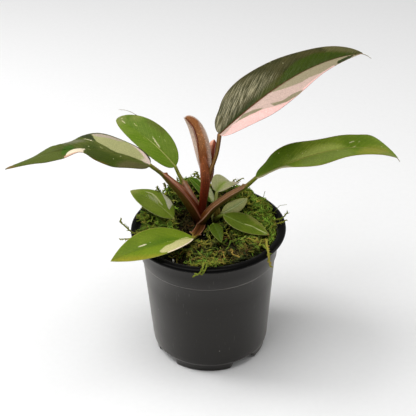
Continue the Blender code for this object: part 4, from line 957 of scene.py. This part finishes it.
def bored(pot, centres):
    """The pot with a drain hole through its floor at each of these turns."""
    drains = bmesh.new()
    for x, y, z in ring(DRAIN_OFFSET, centres, FOOT_HEIGHT + FLOOR / 2):
        bmesh.ops.create_cone(drains, cap_ends=True, segments=48, radius1=DRAIN_RADIUS * MM,
                              radius2=DRAIN_RADIUS * MM, depth=DRAIN_DEPTH * MM,
                              matrix=Matrix.Translation(Vector((x, y, z)) * MM))
    mesh = bpy.data.meshes.new("drain_holes")
    drains.to_mesh(mesh)
    drains.free()
    cutter = placed("drain_holes", mesh)
    cut = pot.modifiers.new("drain_holes", "BOOLEAN")
    cut.operation = "DIFFERENCE"
    cut.object = cutter
    bpy.context.view_layer.update()
    with_holes = bpy.data.meshes.new_from_object(pot.evaluated_get(bpy.context.evaluated_depsgraph_get()))
    pot.modifiers.clear()
    pot.data = with_holes
    bpy.data.objects.remove(cutter)
    return pot


def make_pot():
    """A thin moulded pot: rolled lip, collar, step, tapered body, and a foot ring with four notches."""
    floor_top = FOOT_HEIGHT + FLOOR
    inner_floor = body_radius(floor_top) - WALL
    step = collar_radius(STEP_HEIGHT)
    foot = body_radius(FOOT_HEIGHT)
    profile = [
        # Over the floor and up the inner side
        (5, floor_top), (20, floor_top), (inner_floor - 2.2, floor_top),
        (inner_floor - 0.9, floor_top + 0.9), (body_radius(BEND_HEIGHT) - WALL, BEND_HEIGHT),
        (body_radius(40) - WALL, 40),
        (body_radius(STEP_HEIGHT) - WALL, STEP_HEIGHT + 0.3), (step - WALL, STEP_HEIGHT + 1.5),
        (COLLAR_RADIUS - WALL, POT_HEIGHT - 1.6), (COLLAR_RADIUS - WALL + 0.35, POT_HEIGHT - 0.7),
        # Round the lip
        (COLLAR_RADIUS + 0.5, POT_HEIGHT - 0.15), (COLLAR_RADIUS + 1.6, POT_HEIGHT),
        (LIP_RADIUS - 1.6, POT_HEIGHT - 0.1), (LIP_RADIUS - 0.6, POT_HEIGHT - 0.5),
        (LIP_RADIUS - 0.1, POT_HEIGHT - 1.1), (LIP_RADIUS, POT_HEIGHT - 1.7),
        (LIP_RADIUS - 0.15, UNDER_LIP + 0.5), (LIP_RADIUS - 0.5, UNDER_LIP + 0.1),
        (LIP_RADIUS - 1, UNDER_LIP), (LIP_RADIUS - 1.5, UNDER_LIP + 0.5),
        # Down the collar, over the step and down the body
        (COLLAR_RADIUS + 0.9, UNDER_LIP + 0.6), (COLLAR_RADIUS + 0.25, UNDER_LIP + 0.2),
        (COLLAR_RADIUS - 0.05, UNDER_LIP - 0.6), (collar_radius(85), 85), (step + 0.05, STEP_HEIGHT + 0.5),
        (step - 0.15, STEP_HEIGHT + 0.05), (BODY_TOP_RADIUS + 0.25, STEP_HEIGHT - 0.25),
        (BODY_TOP_RADIUS, STEP_HEIGHT - 0.8),
        *((body_radius(height), height) for height in (60, 40, 20, BEND_HEIGHT)),
        # Round into the foot ring and back under the floor
        (foot + 0.05, FOOT_HEIGHT + 1.5), (foot - 0.15, FOOT_HEIGHT + 0.7), (foot - 0.7, FOOT_HEIGHT + 0.15),
        (FOOT_RADIUS + 1.25, FOOT_HEIGHT - 0.3), (FOOT_RADIUS + 0.9, FOOT_HEIGHT - 0.9),
        (FOOT_RADIUS + 0.5, 1.2), (FOOT_RADIUS + 0.35, 0.35), (FOOT_RADIUS, 0), (FOOT_RADIUS - 1.9, 0),
        (FOOT_RADIUS - 2.2, 0.3), (FOOT_RADIUS - 2.2, FOOT_HEIGHT), (20, FOOT_HEIGHT), (5, FOOT_HEIGHT),
    ]
    spokes = 288
    turn = np.arange(spokes) * TURN / spokes
    centres = np.radians(FOOT_TURN - 90 + (np.arange(FEET) + 0.5) * 360 / FEET)
    off = np.abs((turn[:, None] - centres[None, :] + np.pi) % TURN - np.pi).min(1) * FOOT_RADIUS
    notch = np.clip((NOTCH_FOOT / 2 - off) / (NOTCH_FOOT - NOTCH_TOP) * 2, 0, 1) * (FOOT_HEIGHT - 0.4)
    rows = [ring(radius, turn, np.maximum(height, notch) if height < FOOT_HEIGHT - 0.1 else height)
            for radius, height in profile]
    faces = grid_faces(len(profile), spokes, wrap=True) + end_fans(len(profile), spokes)
    points = np.vstack([*rows, [0, 0, floor_top], [0, 0, FOOT_HEIGHT]])
    pot = make_object("moulded_pot", points, faces, moulded_polypropylene(), "plastic", ("pot",))
    return bored(pot, centres)


# Moss and soil

def mound(x, y, mounds):
    return sum(rise * np.exp(-((x - cx) ** 2 + (y - cy) ** 2) / reach**2) for cx, cy, reach, rise in mounds)


def relief(x, y):
    """Height of the moss mat: uneven cushions with their tufts and dips."""
    waves = np.sin(x * 0.31 + 1.1) * np.cos(y * 0.27 - 0.4) + 0.6 * np.sin(x * 0.17 - y * 0.4)
    return MAT_LEVEL + MAT_WAVES * waves + mound(x, y, TUFTS) + mound(x, y, DIPS)


def mat_place(turn, share):
    """A place on the mat, by its turn and its share of the way from the hollow to the wall."""
    inner = CROWN_RADIUS * (1 + 0.12 * np.sin(3 * turn + 0.6) + 0.08 * np.sin(5 * turn))
    near = np.stack([CROWN[0] + inner * np.cos(turn), CROWN[1] + inner * np.sin(turn)], -1)
    far = np.stack([MAT_RADIUS * np.cos(turn), MAT_RADIUS * np.sin(turn)], -1)
    return near + (far - near) * share


def damp_peat():
    """Damp peat with bark crumbs, sieved: almost black, matt, in grains from 0.5 to 3 mm."""
    node, surface = new_material("damp_peat")
    place = node("TexCoord", out="Object")
    crumb = node("TexVoronoi", {"Vector": place, "Scale": 1 / 0.0018})
    fine = node("TexNoise", {"Vector": place, "Scale": 1 / 0.0009, "Detail": 4})
    return surface({"Base Color": layered(node, "0a0804", [(fine, "2c2212")]), "Specular IOR Level": 0.12,
                    "Roughness": node("MapRange", [fine, 0, 1, 0.75, 1]),
                    "Normal": node("Bump", {"Height": crumb, "Strength": 0.8, "Distance": 0.0008})})


def expanded_perlite():
    """Perlite, popped by heat: white glassy foam, rough and pitted."""
    node, surface = new_material("expanded_perlite")
    pits = node("TexVoronoi", {"Vector": node("TexCoord", out="Object"), "Scale": 1 / 0.0004})
    return surface({"Base Color": layered(node, "c9c4b8", [(pits, "f2f0ea")]), "Roughness": 0.8,
                    "Normal": node("Bump", {"Height": pits, "Strength": 0.6, "Distance": 0.0002})})


def sheet_moss():
    """Sheet moss, living and dried strands together: matt, green at the tips, olive and brown below;
    painted shade darkens the strands at their roots and in the low layers, and painted light brightens the
    tips.
    """
    node, surface = new_material("sheet_moss")
    tone, along = (node("Attribute", out="Fac", attribute_name=key) for key in ("tone", "along"))
    fine = node("TexNoise", {"Vector": node("TexCoord", out="Object"), "Scale": 1 / 0.0012, "Detail": 2})
    share = node("Math", [tone, node("MapRange", [fine, 0.3, 0.7, -0.08, 0.08])], operation="ADD")
    tint = colour_ramp(node, share, ((0, "6a4c20"), (0.14, "9c823c"), (0.3, "84802c"), (0.48, "667022"),
                                     (0.66, "628426"), (0.84, "86a236"), (1, "b2b452")))
    # Painted light and shade: the along value sets how dark or bright each strand is drawn
    shade = node("MapRange", [along, 0, 1, 0.14, 2])
    return surface({"Base Color": node("HueSaturation", {"Color": tint, "Value": shade}), "Roughness": 0.8,
                    "Normal": node("Bump", {"Height": fine, "Strength": 0.5, "Distance": 0.0003}),
                    "Specular IOR Level": 0.2})


def dry_fibre():
    """Dried plant fibre: straw coloured, matt, streaked lengthwise."""
    node, surface = new_material("dry_fibre")
    fine = node("TexNoise", {"Vector": node("TexCoord", out="Object"), "Scale": 1 / 0.0015, "Detail": 2})
    return surface({"Base Color": layered(node, "6e6242", [(fine, "b9ac88")]), "Roughness": 0.7,
                    "Normal": node("Bump", {"Height": fine, "Strength": 0.4, "Distance": 0.0001})})


def tube(route, radius, sides=3):
    """A closed thin tube that narrows to a point: points, faces and the share along for each point."""
    route = np.asarray(route, float)
    count = len(route) - 1
    ahead = unit(np.gradient(route, axis=0))
    first = unit(np.cross(ahead, (0.31, 0.23, 0.92)))
    second = np.cross(ahead, first)
    turn = np.arange(sides) * TURN / sides
    size = radius * np.linspace(1, 0.55, count + 1)[:-1]
    way = first[:-1, None] * np.cos(turn)[:, None] + second[:-1, None] * np.sin(turn)[:, None]
    rings = route[:-1, None] + size[:, None, None] * way
    points = np.vstack([rings.reshape(-1, 3), route[-1:]])
    tip = count * sides
    faces = [tuple(range(sides))[::-1]]
    for i in range(count):
        for j in range(sides):
            a, b = i * sides + j, i * sides + (j + 1) % sides
            faces.append((a, b, tip) if i == count - 1 else (a, b, b + sides, a + sides))
    share = np.append(np.repeat(np.linspace(0, 1, count + 1)[:-1], sides), 1.0)
    return points, faces, share


def sprig(draw, bends, shoots, wander):
    """A moss shoot about 1 long: a curled stem with short leafy side shoots, drawn in unit length,
    and the places along its stem."""
    t = np.linspace(0, 1, bends)
    curl, phase = draw.uniform(-0.55, 0.55, 2), draw.uniform(0, 6, 2)
    stem = np.stack([t - 0.22 * np.hypot(*curl) * t**2,
                     curl[0] * t**2 + wander * np.sin(bends * t + phase[0]),
                     curl[1] * t**2 + wander * np.sin((bends - 1.5) * t + phase[1])], 1)
    stem -= stem[0]
    parts = [tube(stem, SHOOT_THICK, sides=4)]
    for at in np.linspace(0.14, 0.92, shoots):
        root = np.array([np.interp(at, t, stem[:, axis]) for axis in range(3)])
        turn, roll = draw.uniform(0.5, 1.1), draw.uniform(0, TURN)
        reach = draw.uniform(1.7, 3.4) * SHOOT_THICK * (1.15 - 0.5 * at)
        way = np.array([math.cos(turn), math.sin(turn) * math.cos(roll), math.sin(turn) * math.sin(roll)])
        way *= reach
        parts.append(tube([root, root + way * 0.55, root + way + np.array([0.03, 0, 0])], SHOOT_THICK * 0.7))
    return *joined(parts), stem


def search_tree(pieces):
    """What finds the nearest place on any of the pieces."""
    points, faces = [], []
    for piece in pieces:
        start = len(points)
        points += [vert.co.copy() for vert in piece.data.vertices]
        faces += [[start + i for i in polygon.vertices] for polygon in piece.data.polygons]
    return BVHTree.FromPolygons(points, faces)


def fits(places, obstacles):
    """Whether a strand stays inside the pot or above its lip, and clear of what stands in the moss."""
    x, y, z = places.T
    turn = np.degrees(np.arctan2(y, x)) % 360
    over = np.full(len(places), LIP_REACH)
    for start, end, far in OVER_LIP:
        over = np.where((turn > start) & (turn < end), far, over)
    limit = np.where(z < POT_HEIGHT + 0.7, WALL_REACH, over)
    highest = relief(x, y) + mound(x, y, SWELLS) + 3.4 + 0.7 * mound(x, y, TUFTS)
    in_crown = np.hypot(x[-1] - CROWN[0], y[-1] - CROWN[1]) < CROWN_RADIUS * 0.4
    if (np.hypot(x, y) > limit).any() or (z > highest).any() or in_crown:
        return False
    return not any(obstacles.find_nearest(Vector(place) * MM, CLEARANCE * MM)[0] for place in places)


def strand_start(draw, layer, clumps):
    """Where a strand of a layer starts: x, y, its heading, its tone and its lift."""
    x, y, heading, tone, spread, rise = clumps[draw.integers(len(clumps))]
    if layer == "moss_low":
        x, y = mat_place(draw.uniform(0, TURN), math.sqrt(draw.uniform()))
        return x, y, draw.uniform(0, TURN), tone, 0.0
    if layer == "moss_crown":
        inward = draw.uniform(0, TURN)
        x, y = mat_place(inward, draw.uniform(0, 0.12))
        return x, y, inward + math.pi, tone, draw.uniform()
    if layer == "moss_rim":
        heading = math.radians(draw.uniform(*OVER_LIP[draw.integers(len(OVER_LIP))][:2]))
        reach = draw.uniform(41.5, 46)
        return reach * math.cos(heading), reach * math.sin(heading), heading, tone, draw.uniform(0.2, 1.6)
    off = draw.normal(0, spread / 2, 2)
    return x + off[0], y + off[1], heading, tone, 2.8 * rise * math.exp(-(off @ off) / spread**2)


def moss_layer(draw, name, layer, sprigs, clumps, obstacles, finish):
    """One layer of strands over the mat, each a sprig turned, sized and given painted light and shade for
    its place.
    """
    strands, lights, tones = [], [], []
    for _ in range(layer["count"] * TRIES):
        if len(strands) == layer["count"]:
            break
        x, y, heading, tone, lift = strand_start(draw, name, clumps)
        out = math.hypot(x, y)
        if out > STRAND_RADIUS:
            continue
        bare = math.hypot(x - BARE_PATCH[0], y - BARE_PATCH[1]) < BARE_RADIUS
        if bare and draw.uniform() > 0.12:
            continue
        tuft = float(mound(x, y, TUFTS)) / max(height for *_, height in TUFTS)
        near_wall = max(0.0, (out - 38) / 8)
        steep = math.radians(draw.uniform(-8, 14) + layer["slope"] + 34 * tuft * draw.uniform(0.2, 1.2)
                             + 16 * near_wall * draw.uniform())
        length = draw.uniform(5, 9) * layer["length"] * (1 + 0.5 * tuft)
        turned = np.array(Matrix.Rotation(heading + draw.normal(0, 0.65), 3, "Z")
                          @ Matrix.Rotation(-steep, 3, "Y") @ Matrix.Rotation(draw.uniform(0, TURN), 3, "X"))
        root = np.array([x, y, float(relief(x, y) + mound(x, y, SWELLS)) + layer["lift"] + lift + near_wall])
        shape, faces, share, stem = sprigs[draw.integers(len(sprigs))]
        if not fits(root + stem * length @ turned.T, obstacles):
            continue
        fresh_and_lit, shaded = float(mound(x, y, FRESH_AND_LIT)), float(mound(x, y, SHADED))
        # Painted light where the moss grows green, and painted shade where it lies deep, which also browns
        # it, with a little random scatter
        light = 0.4 * fresh_and_lit - 0.8 * shaded + draw.normal(0, 0.13)
        green = 0.3 + 0.35 * fresh_and_lit - 0.6 * shaded + 0.3 * tuft
        # The layer's painted shade at the root, the painted light it gains to the tip, and the painted light
        # of the place
        lights.append(layer["shade"] + share * layer["gain"] + light)
        tones.append(np.full(len(shape), np.clip(0.4 * tone + 0.7 * green + draw.normal(0, 0.14), 0, 1)))
        strands.append((root + (shape * length) @ turned.T, faces, share))
    attributes = {"along": np.concatenate(lights), "tone": np.concatenate(tones)}
    make_object(name, *joined(strands)[:2], finish, "moss", ("moss",), attributes)


def moss_cushion():
    """The dark cushion under the strands."""
    spokes = 132
    turn = np.linspace(0, TURN, spokes, endpoint=False)
    foot = np.full(spokes, SOIL_TOP + 0.3)
    rows = [np.column_stack([mat_place(turn, 0), foot])]
    for share in np.linspace(0, 1, 26):
        place = mat_place(turn, share)
        x, y = place.T
        drop = 1.6 if share in (0, 1) else 0
        rough = 0.5 * np.sin(x * 1.9) * np.cos(y * 2.3) + 0.35 * np.sin(x * 3.7 + y * 3.1)
        rows.append(np.column_stack([place, relief(x, y) - 3 - drop + rough]))
    rows.append(np.column_stack([mat_place(turn, 1), foot]))
    faces = grid_faces(len(rows), spokes, wrap=True)
    last = (len(rows) - 1) * spokes
    faces += [(last + j, j, (j + 1) % spokes, last + (j + 1) % spokes) for j in range(spokes)]
    make_object("moss_cushion", np.vstack(rows), faces, damp_peat(), "moss", ("moss",))


def moss_trails(draw, finish):
    """Strands that hang over the lip or stand out past it, leafy all along."""
    parts, tones = [], []
    for girth, *route in TRAILS:
        path = smooth_path(route, 40)
        parts.append(tube(path, girth, sides=6))
        tone = draw.uniform(0.28, 0.55)
        tones.append(np.full(len(parts[-1][0]), tone))
        for k in range(6, 39):
            ahead = path[k] - path[k - 1]
            ahead /= np.linalg.norm(ahead)
            way = np.cross(ahead, draw.uniform(-1, 1, 3))
            way = way / np.linalg.norm(way) + ahead * draw.uniform(0.3, 1.0)
            way *= draw.uniform(0.9, 2.1) * min(girth / 0.6, 1.0)
            parts.append(tube([path[k], path[k] + way * 0.5, path[k] + way], girth * 0.55, sides=4))
            tones.append(np.full(len(parts[-1][0]), tone + draw.normal(0, 0.08)))
    points, faces, shares = joined(parts)
    # Painted light: the trails brighten from root to tip
    attributes = {"along": 0.42 + 0.3 * shares, "tone": np.clip(np.concatenate(tones), 0, 1)}
    make_object("moss_trails", points, faces, finish, "moss", ("moss",), attributes)


def make_moss(obstacles):
    """A dark cushion with strands laid over it in clumps that share a heading and a tone."""
    draw = np.random.default_rng(MOSS_SEED)
    short = [sprig(draw, 7, 9, 0.07) for _ in range(SPRIGS)]
    long = [sprig(draw, 10, 8, 0.1) for _ in range(SPRIGS)]
    finish = sheet_moss()
    moss_cushion()
    clumps = []
    for _ in range(CLUMPS):
        place = mat_place(draw.uniform(0, TURN), math.sqrt(draw.uniform()))
        heading, tone = draw.uniform(0, TURN), draw.uniform()
        clumps.append((*place, heading, tone, draw.uniform(1.6, 3.6), draw.uniform(0.2, 1)))
    for name, layer in MOSS_LAYERS.items():
        moss_layer(draw, name, layer, long if name == "moss_high" else short, clumps, obstacles, finish)
    moss_trails(draw, finish)


def make_threads():
    finish = dry_fibre()
    for name, (leaf, along, across, girth, *places) in THREADS.items():
        root = blade_surface(LEAVES[leaf], np.array([along]), np.array([across])).reshape(3)
        thread = tube(smooth_path([root, *places], 14), girth, sides=6)
        make_object(name, *thread[:2], finish, "leaf_green")


def lump(draw, size, place):
    """An irregular closed grain."""
    bm = bmesh.new()
    bmesh.ops.create_icosphere(bm, subdivisions=2, radius=1.0)
    points = np.array([vert.co for vert in bm.verts])
    faces = [tuple(vert.index for vert in face.verts) for face in bm.faces]
    bm.free()
    waves = sum(0.16 * np.sin(points @ draw.normal(0, 2.2, 3) + draw.uniform(0, 6)) for _ in range(4))
    points = points * (1 + waves)[:, None] * size * draw.uniform(0.6, 1.1, 3)
    return points + place, faces, np.zeros(len(points))


def make_soil():
    """The plug of peat that fills the pot, with bark crumbs and perlite where it shows."""
    inside = WALL + 0.4
    spokes = 160
    turn = np.linspace(0, TURN, spokes, endpoint=False)
    rows = []
    for radius in np.linspace(0.5, collar_radius(SOIL_TOP) - inside - 0.5, 44):
        x, y = radius * np.cos(turn), radius * np.sin(turn)
        rough = 0.3 * np.sin(x * 2.1 + 1) * np.cos(y * 1.7) + 0.25 * np.sin(x * 4.3 + y * 3.9)
        rows.append(ring(radius, turn, SOIL_TOP - 0.3 + rough * 0.6))
    for radius, height in ((collar_radius(SOIL_TOP), SOIL_TOP - 0.6),
                           (collar_radius(STEP_HEIGHT), STEP_HEIGHT + 2),
                           (body_radius(STEP_HEIGHT), STEP_HEIGHT + 0.5), (body_radius(9), 9.3),
                           (body_radius(5.1) - 2.2, 5.1)):
        rows.append(ring(radius - inside, turn, height))
    last = (len(rows) - 1) * spokes
    faces = grid_faces(len(rows), spokes, flip=True, wrap=True)
    faces.append(tuple(range(spokes))[::-1])
    faces.append(tuple(range(last, last + spokes)))
    peat = damp_peat()
    make_object("peat", np.vstack(rows), faces, peat, "soil", ("soil",))

    draw = np.random.default_rng(SOIL_SEED)
    crumbs = []
    for _ in range(CRUMBS):
        in_hollow = draw.uniform() < 0.5
        middle, radius = (CROWN, CROWN_RADIUS) if in_hollow else (BARE_PATCH, BARE_RADIUS)
        angle, reach = draw.uniform(0, TURN), radius * math.sqrt(draw.uniform())
        x, y = middle[0] + reach * math.cos(angle), middle[1] + reach * math.sin(angle)
        if not in_hollow and math.hypot(x, y) > MAT_RADIUS - 1.2:
            continue
        level = SOIL_TOP if in_hollow else float(relief(x, y)) - 0.6
        crumbs.append(lump(draw, draw.uniform(0.5, 1.5), (x, y, level)))
    make_object("bark_crumbs", *joined(crumbs)[:2], peat, "soil")
    grains = [lump(draw, size, place) for *place, size in PERLITE]
    make_object("perlite_grains", *joined(grains)[:2], expanded_perlite(), "soil")


# Room, light and camera

def painted_board():
    """Matt painted board, rolled: white, with the faintest stipple."""
    node, surface = new_material("painted_board")
    stipple = node("TexNoise", {"Vector": node("TexCoord", out="Object"), "Scale": 1 / 0.004, "Detail": 2})
    return surface({"Base Color": layered(node, "f0f0f0", [(stipple, "f4f4f4")]), "Roughness": 0.9})


def pale_floor():
    mesh = bpy.data.meshes.new("floor")
    corners = [(x * FLOOR_REACH, y * FLOOR_REACH, 0) for x, y in ((-1, -1), (1, -1), (1, 1), (-1, 1))]
    mesh.from_pydata(corners, [], [(0, 1, 2, 3)])
    mesh.materials.append(painted_board())
    floor = placed("floor", mesh)


def soft_light(name, place, aim, size, power):
    lamp = bpy.data.lights.new(name, "AREA")
    lamp.size = size
    lamp.energy = power
    lamp_object = placed(name, lamp)
    lamp_object.location = place
    lamp_object.rotation_euler = (Vector(aim) - Vector(place)).to_track_quat("-Z", "Y").to_euler()


def light_the_room():
    """A white room with four large square lamps, in metres."""
    world = bpy.data.worlds.new("studio")
    world.use_nodes = True
    fill(world.node_tree, world.node_tree.nodes["Background"], {"Color": "ffffff", "Strength": 0.3})
    bpy.context.scene.world = world
    soft_light("key_box", (-0.65, 0.15, 0.83), (0.02, 0, 0.11), 0.35, 3.5)
    soft_light("left_box", (-0.8, 0.25, 0.24), (0, 0, 0.06), 0.35, 1.8)
    soft_light("right_box", (0.9, 0.2, 0.34), (0, 0, 0.06), 0.4, 1.6)
    soft_light("top_box", (-0.15, -0.1, 1.2), (0, 0, 0.1), 0.9, 9)


def place_camera():
    """At the photograph's angle and distance, aimed at a point above the pot's lip."""
    rise, roll = math.radians(CAMERA_RISE), math.radians(CAMERA_ROLL)
    back = Vector((0, -math.cos(rise), math.sin(rise)))
    level, upright = Vector((1, 0, 0)), Vector((0, math.sin(rise), math.cos(rise)))
    right = level * math.cos(roll) + upright * math.sin(roll)
    up = upright * math.cos(roll) - level * math.sin(roll)
    data = bpy.data.cameras.new("camera")
    data.sensor_width = SENSOR
    data.lens = FOCAL_PIXELS / PHOTO_PIXELS * SENSOR
    camera = placed("camera", data)
    camera.matrix_world = Matrix((right, up, back)).transposed().to_4x4()
    camera.location = Vector((0, 0, AIM_HEIGHT)) + back * CAMERA_DISTANCE
    bpy.context.scene.camera = camera


place_camera()
light_the_room()
pale_floor()
pot = make_pot()
standing = [make_leaf(name, leaf) for name, leaf in LEAVES.items()]
standing += [make_stalk(name, stalk) for name, stalk in STALKS.items()]
make_soil()
make_moss(search_tree(standing + [pot]))
make_threads()
bpy.context.scene.view_settings.view_transform = "Standard"
